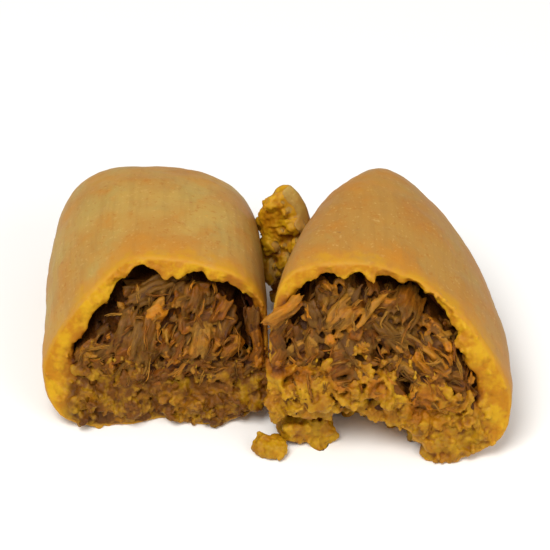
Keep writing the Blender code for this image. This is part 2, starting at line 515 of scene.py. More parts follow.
lumpy = knead(crumbs, real, 1.3 * MM, 1.8 * MM)
both = crumbs.nodes.new("GeometryNodeJoinGeometry")
crumbs.links.new(lumpy.outputs[0], both.inputs[0])
crumbs.links.new(given.outputs["Geometry"], both.inputs[0])
end_tree(crumbs, both, dough_finish)

# %% [markdown]
# ## Uneven dough
#
# Noise pushes each vertex along its normal: in wide waves and in small grains on torn faces, and
# in shallow dents on the skin, which was pressed smooth by the husk. Grains come from a Voronoi
# pattern, whose cells look like swollen maize meal, and they fade out in patches where the dough
# is dense.

# %% The tree that roughens dough
PATCH = 3.5 * MM  # how far dense patches, where grains fade out, are apart
DENT_WAVE = 12 * MM  # how far the skin's dents are apart
WARP_SCALE, WARP = 900.0, 0.5 * MM  # noise scale and size of the shift that bends the grains

relief, given = new_tree("relief", Wide=0.005, Deep=0.001, Grain=0.001, Height=0.0003,
                         Dent=0.0003, Top=0.3)
torn = stored_number(relief, "torn")
here = step(relief, "GeometryNodeInputPosition")
outward = step(relief, "GeometryNodeInputNormal")


def bumps(tree, where, wavelength, detail=1.0):
    """Noise between about -1 and 1 with bumps of this size."""
    often = maths(tree, "DIVIDE", 1.0, wavelength)
    waves = step(tree, "ShaderNodeTexNoise",
                 {"Vector": where, "Scale": often, "Detail": detail, "Roughness": 0.55})
    return maths(tree, "MULTIPLY_ADD", waves.outputs["Fac"], 4.0, -2.0)


strength = between(relief, stored_number(relief, "low"), given.outputs["Top"], 1.0)
wide = times(relief, bumps(relief, here, given.outputs["Wide"], 2.0), given.outputs["Deep"])
wobble = step(relief, "ShaderNodeTexNoise", {"Vector": here, "Scale": WARP_SCALE})
warped = vectors(relief, "ADD", here, scaled(relief, wobble.outputs["Color"], WARP))
cells = step(relief, "ShaderNodeTexVoronoi",
             {"Vector": warped, "Scale": maths(relief, "DIVIDE", 1.0, given.outputs["Grain"]),
              "Randomness": 1.0}, feature="F1")
mound = maths(relief, "SUBTRACT", 0.45, cells.outputs["Distance"])
patchy = ramp(relief, bumps(relief, here, PATCH), -0.5, 0.5, 0.35, 1.3)
grainy = times(relief, mound, patchy, given.outputs["Height"])
rough = times(relief, maths(relief, "ADD", wide, grainy), torn, strength)
dented = times(relief, bumps(relief, here, DENT_WAVE, 3.0), given.outputs["Dent"])
calm = times(relief, maths(relief, "SUBTRACT", 1.0, torn), dented)
push = scaled(relief, outward, maths(relief, "ADD", rough, calm))
end_tree(relief, step(relief, "GeometryNodeSetPosition",
                      {"Geometry": given.outputs["Geometry"], "Offset": push}))

# %% [markdown]
# ## Raised grains and pits
#
# On a crumbly face the finish paints light on the raised grains and shade in the pits. This tree
# compares each vertex with the average of its neighbourhood: above it is a grain, below it is a
# pit. The result is stored as `raised`.

# %% The tree that finds grains and pits
hollows, given = new_tree("hollows", Rounds=8, Height=0.0003)
here = step(hollows, "GeometryNodeInputPosition")
average = step(hollows, "GeometryNodeBlurAttribute",
               {"Value": here, "Iterations": given.outputs["Rounds"]}, data_type="FLOAT_VECTOR")
above = step(hollows, "ShaderNodeVectorMath",
             {0: vectors(hollows, "SUBTRACT", here, average),
              1: step(hollows, "GeometryNodeInputNormal")}, operation="DOT_PRODUCT")
share = maths(hollows, "DIVIDE", above.outputs["Value"], given.outputs["Height"])
end_tree(hollows, store(hollows, given.outputs["Geometry"], "raised", share))

GRAIN_HEIGHT = 0.25 * MM  # how far above its neighbours a vertex counts as fully raised


def find_grains(piece, rounds=8):
    """Stores what is raised and what is a pit, and lets light flow over the faces."""
    run_tree(piece, hollows, Rounds=rounds, Height=GRAIN_HEIGHT)
    piece.data.shade_smooth()


# %% [markdown]
# ## Sight lines
#
# Places on the broken faces are given as seen from the front: millimetres across and up from the
# spot on the table under the tamale's middle. A sight line from the eye through such a place
# finds the surface there.

# %% Find places by eye
EYE = to_viewer * VIEW_DISTANCE


def surface(piece):
    """A piece's surface, ready to be hit by sight lines."""
    mesh = piece.data
    return BVHTree.FromPolygons([v.co for v in mesh.vertices],
                                [list(p.vertices) for p in mesh.polygons])


def seen_at(target, across, up):
    """Where the sight line through a place, in mm across and up, meets a surface."""
    aim = Vector((1, 0, 0)) * across * MM + seen_up * up * MM
    spot, normal, _, _ = target.ray_cast(EYE, (aim - EYE).normalized())
    return spot, normal


def first_hit(targets, across, up):
    """The first surface that a sight line meets, of several."""
    hits = [hit for hit in (seen_at(t, across, up) for t in targets) if hit[0] is not None]
    return min(hits, key=lambda hit: (hit[0] - EYE).length) if hits else (None, None)


def all_as_seen(spots):
    """For an array of points, the mm across and up at which each appears."""
    from_eye = spots - np.array(EYE)
    ahead = from_eye @ -np.array(to_viewer) / VIEW_DISTANCE * MM
    return np.stack([from_eye[:, 0] / ahead, from_eye @ np.array(seen_up) / ahead], axis=1)


# %% [markdown]
# ## The two crusts
#
# Each half is a thick wall of dough round the beef. Its skin is what faced the husk: every face
# that points away from the half's middle line. All the rest is torn. The gap under the tapered
# half was broken out, so it counts as torn too.
#
# The lip, where the broken face meets the hollow, isn't even. Small bits hang from it, and bites
# are missing.

# %% Describe the halves
@dataclass
class Half:
    """One half of the tamale, and what happened to it when it broke."""
    name: str
    crust: str
    beef: str
    seed: int
    lip: list       # where it is moved: mm across, mm up, radius, and mm out or (below 0) in
    caves: list     # dark hollows beside or in the beef: mm across, mm up, radius
    gap_from: float  # the gap under the roof starts this many mm up
    damp: float     # how much darker the bottom is: soaked sauce and painted shade
    rubble: list    # crumbled dough covers the beef below these places: mm across, mm up
    coarse: float   # mm radius of the largest crumbled lumps
    clean: tuple    # from the first to the second place across, mm, dough starts to crumble
    stains: list    # sauce on the broken dough: mm across, mm up, radius, and how much
    fat: float      # how orange the skin is from fat that rose in it


HALVES = [
    Half("blunt", "crust_blunt_half", "beef_blunt_half", 11,
         lip=[(-16.6, 18.0, 3.4, 1.5), (-28.3, 16.4, 3.6, 1.6), (-23.1, 16.4, 2.2, -1.7),
              (-20.4, 17.2, 1.3, -0.8), (-11.5, 16.8, 1.6, -0.8), (-8.0, 14.4, 5.0, 2.0),
              (-4.4, 9.0, 5.0, 1.9), (-3.6, 3.0, 4.5, 1.6), (-6.4, 14.6, 1.7, -0.9),
              (-33.5, 9.5, 2.2, -0.8), (-35.0, 5.5, 3.4, 1.2)],
         caves=[(-28.1, 15.4, 2.6), (-31.0, 10.9, 2.0), (-34.2, 5.6, 2.6), (-36.6, 2.4, 1.6),
                (-16.1, 16.8, 2.6), (-12.6, 15.8, 2.4), (-8.4, 13.8, 2.2), (-22.9, -1.8, 1.2),
                (-6.1, -1.9, 1.3), (-20.5, 9.6, 0.8), (-9.5, 4.0, 0.9)],
         gap_from=1.0, damp=1.0,
         rubble=[(-42, -1.5), (-37, -2.5), (-30, -4.6), (-24, -5.4), (-18, -4.6), (-12, -3.4),
                 (-7, -2.6), (-2, -1.5)],
         coarse=1.5, clean=(-46.5, -41.5),
         stains=[(-25.5, 17.2, 3.0, 0.3), (-8.0, 16.6, 4.0, 0.35), (-3.6, 11.0, 3.0, 0.4),
                 (-3.2, 5.0, 4.0, 0.8), (-3.4, -0.5, 3.5, 0.6)],
         fat=0.1),
    Half("tapered", "crust_tapered_half", "beef_tapered_half", 23,
         lip=[(11.0, 17.6, 2.2, 1.1), (24.0, 16.8, 3.0, 1.7), (29.0, 13.4, 5.0, 1.6),
              (34.0, 9.6, 5.0, 2.8), (37.0, 5.0, 4.5, 1.8), (20.3, 17.0, 1.8, -1.5),
              (14.5, 17.4, 1.5, -1.0), (27.0, 14.8, 1.6, -1.0), (31.5, 12.2, 1.5, -1.1),
              (37.6, 1.6, 2.2, -1.6)],
         caves=[(11.2, 16.3, 1.8), (18.6, 15.4, 2.0), (22.4, 15.8, 2.1), (34.0, 9.5, 3.2),
                (12.8, 5.0, 1.2), (6.5, -0.4, 1.7), (20.1, 5.0, 1.1), (21.2, 0.2, 1.8),
                (2.0, 0.6, 1.4), (7.0, 11.3, 1.1), (1.6, 4.8, 1.3), (30.5, -2.5, 1.0),
                (14.4, -4.0, 2.4), (27.4, -6.6, 2.0)],
         gap_from=7.0, damp=0.4,
         rubble=[(-1.7, -3.2), (5, -2.8), (10, -2.6), (14, -2.6), (18, -2.2), (21, -3.4),
                 (26, -5.4), (31, -5.8), (35, -7.4), (42, -10.0)],
         coarse=2.5, clean=(48.0, 43.0),
         stains=[(0.5, -1.0, 5.0, 0.85), (1.0, 5.5, 5.0, 0.85), (1.5, 10.5, 3.5, 0.6),
                 (14.2, -4.6, 4.2, 0.6), (22.0, -7.5, 3.0, 0.45), (31.5, -11.0, 4.5, 0.5),
                 (5.5, -5.0, 3.4, 0.5), (39.5, -5.0, 4.5, 0.45), (23.0, 17.4, 3.5, 0.3),
                 (11.0, 18.4, 3.0, 0.3)],
         fat=1.0),
]
BREAK_GAP = Vector((11.9, -38.1, 0.5)) * MM
BREAK_GAP_RADII = Vector((17, 17, 8.8)) * MM
ROUND_GAP = 1.12  # faces within this many radii of the gap's middle are its walls
SKIN_TURN = 0.3  # how squarely a skin face points away from the middle line
BACK_TURN = 0.5  # how squarely a closed end's face points to the back
BREAK_TURN = -0.55  # how squarely a torn face points to the front


def in_break_gap(point):
    """True at the gap that was broken out of the tapered half's underside."""
    return sum(((p - c) / (ROUND_GAP * r)) ** 2
               for p, c, r in zip(point, BREAK_GAP, BREAK_GAP_RADII)) < 1


def is_broken(face):
    """True for a face of the break itself, not of the hollow behind it."""
    return face.normal.y < BREAK_TURN or in_break_gap(face.calc_center_median())


def skin_test(half):
    """A test that says whether a face of this half's crust is its outer skin."""
    low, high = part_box(half.beef)
    core = (low + high) / 2

    def is_skin(face):
        """True for a face that touched the husk."""
        centre = face.calc_center_median()
        away = Vector((centre.x - core.x, 0, centre.z - core.z)).normalized()
        faces_out = face.normal.dot(away) > SKIN_TURN or face.normal.y > BACK_TURN
        return faces_out and not is_broken(face)
    return is_skin


# %% [markdown]
# ## A ragged lip
#
# Dough tears where it is weakest, so the lip of each hollow has bites and hanging bits. They
# could be sculpted by hand. Here each is one row of numbers, a place and how far the wall moves
# there, and noise adds the small unevenness between them. The move fades out towards the skin and
# behind the break, so only the lip changes.

# %% Tear the lip
NEGLIGIBLE = 0.01  # shares below this don't matter
BITE_ENDS = (0.15, 1.1)  # in radii from a bite's middle: where it starts to fade, and has
LIP_REACH = 5 * MM  # how far behind the break the hollow's wall still moves with the lip
LIP_CENTRE = (6 * MM, 8 * MM)  # the lip moves away from a point this far in and up in the beef
FIRM, SOFT = 0.5 * MM, 2.6 * MM  # depths under the skin where the wall starts to move, and does
RAGGED = ((3.4 * MM, 0.9 * MM), (1.5 * MM, 0.45 * MM))  # wavelength and height of its unevenness


def tear_lip(crust, half):
    """Moves the broken wall in and out, most at the lip and not at all at the skin."""
    spots = places(crust.data)
    seen = all_as_seen(spots)
    low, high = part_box(half.beef)
    inside = (low.x + high.x) / 2, low.y + LIP_CENTRE[0], low.z + LIP_CENTRE[1]
    centre = all_as_seen(np.array([inside]))[0]
    outward = seen - centre
    outward /= np.linalg.norm(outward, axis=1)[:, None]
    thick = smooth_between(read_values(crust.data, "under_skin"), FIRM, SOFT)
    near = 1 - smooth_between(read_values(crust.data, "to_break"), 0.3 * LIP_REACH, LIP_REACH)
    share = thick * near
    move = np.zeros(len(spots))
    for n in np.flatnonzero(share > NEGLIGIBLE):
        for wavelength, height in RAGGED:
            move[n] += height * solid_noise.noise(Vector(spots[n]) / wavelength)
    for across, up, radius, out in half.lip:
        away = np.hypot(seen[:, 0] - across, seen[:, 1] - up) / radius
        move += out * MM * (1 - smooth_between(away, *BITE_ENDS))
    move = (move * share)[:, None]
    spots += outward[:, :1] * move * np.array((1, 0, 0))
    spots += outward[:, 1:] * move * np.array(seen_up)
    move_to(crust, spots)


# %% [markdown]
# ## Dough torn into crumbs
#
# The crust is grown in two rounds. The first makes an even skin, tears the lip and throws crumbs
# on the torn faces. The second remeshes crumbs and crust into one body with smaller faces, and
# adds the relief. Between rounds the distances to skin, break and beef are measured again,
# because remeshing makes new vertices. Last, faces that nobody sees close up are merged, to keep
# the piece light.

# %% Make the crusts
FIRST_FACE, CRUMB_FACE = 0.5 * MM, 0.30 * MM  # face sizes before and after the crumbs
MOST_FACES = 165_000  # triangles a crust may keep
SOAKS = 1.3 * MM  # how far sauce from the beef soaks into the dough
FAR_IN, SKIN_FROM = 6 * MM, 1.2 * MM  # behind the break: out of sight, and whole skin
WHOLE = 0.02  # skin that is less torn than this counts as whole
TORN_DEPTH = (0.35 * MM, 0.9 * MM)  # under the skin: where dough starts to be torn, and is
STAIN_ENDS = (0.3, 1.2)  # in radii from a stain's middle: where it starts to fade, and has
HEAP_REACH = (-1 * MM, 7 * MM)  # over the beef's underside: where the low part ends


def torn_share(under_skin):
    """How torn a vertex is: 0 on the skin, 1 deep under it."""
    return smooth_between(under_skin, *TORN_DEPTH)


def lowness(piece, half):
    """1 below the beef, 0 well above its underside and at the clean outer side."""
    spots = places(piece.data)
    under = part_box(half.beef)[0].z
    inside = smooth_between(all_as_seen(spots)[:, 0], *half.clean)
    return inside * (1 - smooth_between(spots[:, 2] - under, *HEAP_REACH))


def thin_out(piece, plain, most):
    """Merges faces where plain is true, until the piece has at most this many triangles."""
    count = triangles(piece)
    if count <= most:
        return
    group = piece.vertex_groups.new(name="plain")
    group.add([int(n) for n in np.flatnonzero(plain)], 1.0, "REPLACE")
    thinner = piece.modifiers.new("thinner", "DECIMATE")
    thinner.ratio = most / count
    thinner.vertex_group = group.name
    keep_result(piece)
    piece.vertex_groups.clear()


def stand_on_table(piece):
    """Presses flat whatever the relief pushed into the table."""
    spots = places(piece.data)
    spots[:, 2] = np.maximum(spots[:, 2], 0)
    move_to(piece, spots)


def sauce_share(piece, half, share):
    """How much sauce is on each vertex: its share from the beef, or from the half's stains."""
    seen = all_as_seen(places(piece.data))
    for across, up, radius, amount in half.stains:
        away = np.hypot(seen[:, 0] - across, seen[:, 1] - up) / radius
        share = np.maximum(share, amount * (1 - smooth_between(away, *STAIN_ENDS)))
    return share


def map_crust(crust, half, skin, broken, beef):
    """Stores what the relief and the finish need to know at each vertex."""
    under_skin = measure_distance(crust, skin, "under_skin")
    measure_distance(crust, broken, "to_break")
    to_beef = measure_distance(crust, beef, "to_beef")
    write_values(crust, "torn", torn_share(under_skin))
    low = lowness(crust, half)
    write_values(crust, "low", low)
    # The low part is darkened: soaked sauce, and painted shade under the beef.
    write_values(crust, "damp", low * half.damp)
    write_values(crust, "fat", np.full(len(low), half.fat))
    write_values(crust, "stain", sauce_share(crust, half, np.exp(-to_beef / SOAKS)))


def make_crust(half):
    """Grows the crumbly crust of one half from its solid."""
    crust = merged_copy(half.crust, f"dough_crust_{half.name}")
    helpers = (only_faces(crust, skin_test(half), "skin"), only_faces(crust, is_broken, "broken"),
               merged_copy(half.beef, "beef_solid"))
    even_skin(crust, FIRST_FACE, 10)
    map_crust(crust, half, *helpers)
    tear_lip(crust, half)
    run_tree(crust, crumbs, Density=1.0e6, Smallest=0.3 * MM, Largest=1.9 * MM, Top=0.14,
             Seed=half.seed)
    even_skin(crust, CRUMB_FACE, 1)
    map_crust(crust, half, *helpers)
    run_tree(crust, relief, Wide=5 * MM, Deep=0.7 * MM, Grain=1.15 * MM, Height=0.75 * MM,
             Dent=0.35 * MM, Top=0.5)
    to_break = read_values(crust.data, "to_break")
    is_skin = read_values(crust.data, "torn") < WHOLE
    plain = (to_break > FAR_IN) | (is_skin & (to_break > SKIN_FROM))
    thin_out(crust, plain, MOST_FACES)
    stand_on_table(crust)
    map_crust(crust, half, *helpers)
    find_grains(crust)
    for helper in helpers:
        bpy.data.objects.remove(helper)
    print(crust.name, triangles(crust), "triangles")
    return crust


crusts = {half.name: make_crust(half) for half in HALVES}

# %% [markdown]
# ## Colour and grain of masa
#
# Masa is ground maize, lime and fat, reddened a little by the cooking sauce. Its finish draws on
# two effects. Each is a node group with named inputs, so that another finish could share it.
#
# `masa_grain` gives the ground maize's fine bumps.

# %% Shared effect: the grain of ground maize
def new_effect(name, inputs, outputs):
    """A shader node group with these named sockets. Returns it and its input node."""
    effect = bpy.data.node_groups.new(name, "ShaderNodeTree")
    kinds = {"v": "NodeSocketVector", "f": "NodeSocketFloat", "c": "NodeSocketColor"}
    for label, kind in inputs.items():
        effect.interface.new_socket(label, in_out="INPUT", socket_type=kinds[kind])
    for label, kind in outputs.items():
        effect.interface.new_socket(label, in_out="OUTPUT", socket_type=kinds[kind])
    return effect, effect.nodes.new("NodeGroupInput")


def srgb(red, green, blue):
    """A screen colour, 0 to 255 each, as the linear colour that shaders work in."""
    def linear(level):
        """One channel, from 0 to 1."""
        part = level / 255
        return part / 12.92 if part <= 0.04045 else ((part + 0.055) / 1.055) ** 2.4
    return (linear(red), linear(green), linear(blue), 1.0)


def blend(tree, share, first, second, mode="MIX"):
    """Mixes two colours."""
    return socket(step(tree, "ShaderNodeMix", {"Factor": share, "A": first, "B": second},
                       data_type="RGBA", blend_type=mode).outputs, "Result")


def noise(tree, where, wavelength, detail=2.0, roughness=0.5):
    """Noise from 0 to 1 whose features are about this far apart, in metres."""
    return step(tree, "ShaderNodeTexNoise",
                {"Vector": where, "Scale": 1 / wavelength, "Detail": detail,
                 "Roughness": roughness}).outputs["Fac"]


masa_grain, given = new_effect("masa_grain", {"Where": "v"}, {"Height": "f"})
where = given.outputs["Where"]
grit = noise(masa_grain, where, 0.55 * MM, 3.0, 0.6)
pores = noise(masa_grain, where, 1.6 * MM, 2.0)
height = maths(masa_grain, "MULTIPLY_ADD", pores, 0.6, times(masa_grain, grit, 0.4))
step(masa_grain, "NodeGroupOutput", {"Height": height})

# %% [markdown]
# `torn_masa` colours the inside of the dough. It is yellow in uneven patches. Pits get painted
# shade and are browner, raised grains get painted light and are paler, the bottom is darker from
# soaked sauce and painted shade, and where sauce soaked in it turns orange and then dark brown.
# The sauce seeps in clouds, so noise breaks up its edge.

# %% Shared effect: the colour of torn masa
DRY, AMBER = srgb(188, 142, 8), srgb(168, 110, 4)  # two yellows of torn dough
PIT_SHADE, CREST_LIGHT = srgb(124, 64, 4), srgb(204, 156, 40)  # painted shade between its crumbs, and painted light on top of them
DAMP_SHADE, SAUCE, THICK_SAUCE = srgb(88, 50, 2), srgb(154, 92, 6), srgb(84, 40, 2)

torn_masa, given = new_effect(
    "torn_masa", {"Where": "v", "Raised": "f", "Stain": "f", "Damp": "f"}, {"Colour": "c"})
where = given.outputs["Where"]
patch = ramp(torn_masa, noise(torn_masa, where, 4.0 * MM, 4.0, 0.6), 0.38, 0.62)
body = blend(torn_masa, patch, DRY, AMBER)
# Painted shade in the pits, and painted light on the raised grains.
pit = ramp(torn_masa, given.outputs["Raised"], 0.0, -1.2)
body = blend(torn_masa, times(torn_masa, pit, 0.7), body, PIT_SHADE)
crest = ramp(torn_masa, given.outputs["Raised"], 0.2, 1.1)
body = blend(torn_masa, times(torn_masa, crest, 0.35), body, CREST_LIGHT)
brown = ramp(torn_masa, noise(torn_masa, where, 2.6 * MM, 3.0), 0.36, 0.62)
# Darker towards the bottom: soaked sauce and painted shade.
soak_and_shade = times(torn_masa, given.outputs["Damp"],
               maths(torn_masa, "MULTIPLY_ADD", brown, 0.7, 0.5))
body = blend(torn_masa, soak_and_shade, body, DAMP_SHADE)
cloud = maths(torn_masa, "MULTIPLY_ADD", brown, 0.7, 0.65)
soak = times(torn_masa, given.outputs["Stain"], cloud)
body = blend(torn_masa, ramp(torn_masa, soak, 0.0, 0.5), body, SAUCE)
body = blend(torn_masa, ramp(torn_masa, soak, 0.35, 1.0), body, THICK_SAUCE)
step(torn_masa, "NodeGroupOutput", {"Colour": body})

# %% [markdown]
# ## The crust's finish
#
# The skin is satin and tan, with soft orange patches where fat rose, a grey-green tint from the
# husk, and faint lengthwise lines that its ribs pressed in. It turns orange and yellow towards
# the break. Light enters dough a little and comes out warmer, so the shader has some subsurface
# scattering.

# %% Dough finish for the crusts
def effect(tree, group, **inputs):
    """Places a shared effect in a material."""
    node = tree.nodes.new("ShaderNodeGroup")
    node.node_tree = group
    for name, value in inputs.items():
        target = node.inputs[name.replace("_", " ")]
        if isinstance(value, bpy.types.NodeSocket):
            tree.links.new(value, target)
        else:
            target.default_value = value
    return node


def start_finish(finish):
    """Gives a material nodes. Returns its tree, Principled shader and Object coordinates."""
    finish.use_nodes = True
    tree = finish.node_tree
    shader = tree.nodes["Principled BSDF"]
    where = step(tree, "ShaderNodeTexCoord").outputs["Object"]
    return tree, shader, where


def dress(piece, finish):
    """Gives a piece one finish."""
    piece.data.materials.clear()
    piece.data.materials.append(finish)


def stored(tree, name):
    """A vertex attribute, read by a material."""
    return step(tree, "ShaderNodeAttribute", attribute_name=name).outputs["Fac"]


def let_light_in(shader, share, depth, warmth, shine):
    """Light goes into moist food and comes out warmer, by how far each colour travels."""
    shader.inputs["Subsurface Weight"].default_value = share
    shader.inputs["Subsurface Scale"].default_value = depth
    shader.inputs["Subsurface Radius"].default_value = warmth
    shader.inputs["Specular IOR Level"].default_value = shine


RIB_STRETCH = (1.0, 0.06, 1.0)  # draws noise out along the tamale, like the ribs of a husk
TAN, BROWN_TAN, FAT_TAN = srgb(174, 141, 69), srgb(170, 121, 50), srgb(160, 108, 40)
RIB_LINE, DEEP_SAUCE_AND_SHADE = srgb(146, 104, 44), srgb(62, 22, 4)
WARM_SKIN, EDGE_YELLOW = srgb(186, 122, 26), srgb(184, 134, 20)
MARKS = [  # noise wavelength, detail and roughness, where it starts and is full, share, colour
    (8 * MM, 3.0, 0.6, 0.50, 0.74, 0.40, srgb(156, 136, 72)),  # olive clouds
    (6.5 * MM, 6.0, 0.7, 0.52, 0.70, 0.38, srgb(184, 118, 28)),  # orange, fatty patches
    (1.2 * MM, 3.0, 0.6, 0.56, 0.72, 0.50, srgb(156, 92, 20)),  # brown flecks
    (0.9 * MM, 2.0, 0.6, 0.58, 0.74, 0.45, srgb(196, 162, 94)),  # floury specks
]

tree, shader, where = start_finish(dough_finish)
shader.inputs["Roughness"].default_value = 0.56
let_light_in(shader, share=0.2, depth=1.6 * MM, warmth=(1.0, 0.5, 0.18), shine=0.2)
torn_here = stored(tree, "torn")
to_break = stored(tree, "to_break")
grain = effect(tree, masa_grain, Where=where)
inside = effect(tree, torn_masa, Where=where, Raised=stored(tree, "raised"),
                Stain=stored(tree, "stain"), Damp=stored(tree, "damp"))
# Deep behind the break the torn dough turns very dark: sauce, and painted shade in the hollow.
inside_sauce_and_shade = blend(tree, ramp(tree, to_break, 0.8 * MM, 3.5 * MM),
                    inside.outputs["Colour"], DEEP_SAUCE_AND_SHADE)
cloudy = ramp(tree, noise(tree, where, 13 * MM, 3.0), 0.36, 0.66)
tan = blend(tree, cloudy, TAN, BROWN_TAN)
tan = blend(tree, times(tree, stored(tree, "fat"), 0.6), tan, FAT_TAN)
for wavelength, detail, roughness, start, full, share, colour in MARKS:
    mark = ramp(tree, noise(tree, where, wavelength, detail, roughness), start, full)
    tan = blend(tree, times(tree, mark, share), tan, colour)
ribs = noise(tree, vectors(tree, "MULTIPLY", where, RIB_STRETCH), 1.5 * MM)
tan = blend(tree, times(tree, ramp(tree, ribs, 0.45, 0.7), 0.26), tan, RIB_LINE)
far_off = maths(tree, "MULTIPLY_ADD", noise(tree, where, 9 * MM, 3.0, 0.6), 26 * MM, to_break)
warm = ramp(tree, far_off, 22 * MM, 12 * MM)
tan = blend(tree, times(tree, warm, 0.6), tan, WARM_SKIN)
wavering = maths(tree, "MULTIPLY_ADD", noise(tree, where, 5 * MM, 4.0, 0.65), 16 * MM, to_break)
edge = ramp(tree, wavering, 11.5 * MM, 7 * MM)
tan = blend(tree, times(tree, edge, 0.8), tan, EDGE_YELLOW)
colour = blend(tree, torn_here, tan, inside_sauce_and_shade)
tree.links.new(colour, shader.inputs["Base Color"])
fine = times(tree, grain.outputs["Height"], maths(tree, "MULTIPLY_ADD", torn_here, 0.65, 0.35))
lines = times(tree, ribs, maths(tree, "MULTIPLY_ADD", torn_here, -0.6, 0.6))
bump = step(tree, "ShaderNodeBump",
            {"Height": maths(tree, "ADD", fine, lines), "Strength": 0.55,
             "Distance": 0.3 * MM})
tree.links.new(bump.outputs["Normal"], shader.inputs["Normal"])
for crust in crusts.values():
    dress(crust, dough_finish)

# %% [markdown]
# ## The beef's dark inside
#
# Behind the shreds that show there is more beef, packed and in shadow. A rough core fills that
# space, and its dark finish is painted shade. It starts from the beef's solid, and its front is
# pushed back, because the shreds lie on it. Steam and shrinking open a gap under the roof, and
# some hollows are left between the shreds, so the core is dented deeper there.

# %% Where the gap and the hollows are
GAP_WIDTH = 3.4 * MM  # the dark gap under the roof
GAP_ENDS = (0.45, 1.3)  # in gap widths from the roof: where the gap starts to close, and has
CAVE_ENDS = (0.5, 1.2)  # in radii from a hollow's middle: the same


class Hollows:
    """Knows where one half's beef is missing, as seen from the front."""

    def __init__(self, half):
        """Finds the crust's inner wall, where the gap under the roof is."""
        solid = merged_copy(half.crust, "crust_solid")
        is_skin = skin_test(half)
        wall = only_faces(solid, lambda f: not is_skin(f) and not is_broken(f), "wall")
        self.wall = surface(wall)
        bpy.data.objects.remove(solid)
        bpy.data.objects.remove(wall)
        self.caves = half.caves
        self.floor_up = half.gap_from

    def gap_share(self, point, up):
        """1 at the roof, 0 from a gap's width below it."""
        near = self.wall.find_nearest(point, 2 * GAP_WIDTH)[3]
        if near is None or up < self.floor_up:
            return 0.0
        return 1 - float(smooth_between(near / GAP_WIDTH, *GAP_ENDS))

    def cave_share(self, across, up):
        """1 in the middle of a hollow, 0 outside."""
        return max(1 - float(smooth_between(math.hypot(across - x, up - y) / radius, *CAVE_ENDS))
                   for x, y, radius in self.caves)

    def cave_distance(self, across, up):
        """How far a place is from the nearest hollow's edge, in mm as seen; below 0 inside."""
        return min(math.hypot(across - x, up - y) - radius for x, y, radius in self.caves)

    def blocks(self, point, limit=0.5):
        """True where no shred should lie."""
        across, up = all_as_seen(np.array([point]))[0]
        return self.cave_share(across, up) > limit or self.gap_share(point, up) > limit


# %% [markdown]
# The core itself is a copy of the beef's solid. Only the front moves, and only straight back, so
# the sides keep touching the crust. Relief then roughens what shows between the shreds.

# %% Make the beef cores
SET_BACK, DENT = 1.9 * MM, 5.5 * MM  # how far the core lies behind the shreds, and hollows in it
CORE_FACE = 0.6 * MM  # face size
FRONTAL = (0.15, 0.6)  # how squarely a face must look at the viewer to be set back


def make_core(half, hollow):
    """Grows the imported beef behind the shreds."""
    core = merged_copy(half.beef, f"beef_core_{half.name}")
    even_skin(core, CORE_FACE, 4)
    spots = places(core.data)
    front = smooth_between(facings(core.data) @ np.array(to_viewer), *FRONTAL)
    seen = all_as_seen(spots)
    for n in np.flatnonzero(front > NEGLIGIBLE):
        missing = max(hollow.cave_share(*seen[n]), hollow.gap_share(Vector(spots[n]), seen[n][1]))
        spots[n, 1] += front[n] * (SET_BACK + missing * DENT)
    move_to(core, spots)
    write_values(core, "torn", front)
    write_values(core, "low", np.ones(len(spots)))
    run_tree(core, relief, Wide=3.5 * MM, Deep=1.0 * MM, Grain=1.4 * MM, Height=0.6 * MM,
             Dent=0.0, Top=1.0)
    core.data.shade_smooth()
    print(core.name, triangles(core), "triangles")
    return core


hollows_of = {half.name: Hollows(half) for half in HALVES}
cores = {half.name: make_core(half, hollows_of[half.name]) for half in HALVES}

# %% [markdown]
# ## Shreds of beef
#
# Slow-cooked beef pulls apart along its fibres into flat shreds. Each is a bundle of threads that
# run side by side, stick together in the middle and fray at the ends. One tree makes them all.
# Its input is a set of points, one for each shred, with the shred's turn, length, width,
# thickness, number of threads, tone and hue. Each point is repeated once for each thread, threads
# become curves, noise bends them together and frays them apart, and a five-sided profile gives
# each its body.
#
# The tree also stores `grain`: a place measured along and across the shred and squeezed along it,
# so that noise drawn from it makes streaks that run with the fibres.

# %% Shreds: from points to threads
shreds, given = new_tree("shreds", Steps=8, Waviness=0.0006, Fray=0.0005, Knots=0.3)
dots = step(shreds, "GeometryNodeMeshToPoints", {"Mesh": given.outputs["Geometry"]})
where_laid = store(shreds, dots, "centre", step(shreds, "GeometryNodeInputPosition"),
                   "FLOAT_VECTOR")
threads = step(shreds, "GeometryNodeDuplicateElements",
               {"Geometry": where_laid, "Amount": stored_number(shreds, "threads", "INT")},
               domain="POINT")
kept = store(shreds, threads.outputs["Geometry"], "order", threads.outputs["Duplicate Index"])
order = stored_number(shreds, "order")
GOLDEN_ANGLE = math.radians(137.508)  # spreads threads evenly over a bundle's section
angle = times(shreds, order, GOLDEN_ANGLE)
share = maths(shreds, "DIVIDE", maths(shreds, "ADD", order, 0.5),
              stored_number(shreds, "threads", "INT"))
reach = times(shreds, maths(shreds, "SQRT", share), chance(shreds, 0.42, 0.54, 3))
side = times(shreds, maths(shreds, "COSINE", angle),
             times(shreds, stored_number(shreds, "width"), reach))
rise = times(shreds, maths(shreds, "SINE", angle),
             times(shreds, stored_number(shreds, "thickness"), reach))
slide = times(shreds, stored_number(shreds, "length"), chance(shreds, -0.16, 0.16, 4))
turn = stored_number(shreds, "turn", "QUATERNION")
shift = step(shreds, "FunctionNodeRotateVector",
             {"Vector": step(shreds, "ShaderNodeCombineXYZ", {"X": slide, "Y": side, "Z": rise}),
              "Rotation": turn})
side_by_side = step(shreds, "GeometryNodeSetPosition", {"Geometry": kept, "Offset": shift})
own = store(shreds, side_by_side, "own", chance(shreds, 0.0, 1.0, 5))

# %% [markdown]
# Each point now becomes a straight curve of its own length. Two kinds of noise bend it: one that
# all threads of a shred share, and a finer one of its own that grows towards the ends, where a
# shred frays. A shred can also arch.

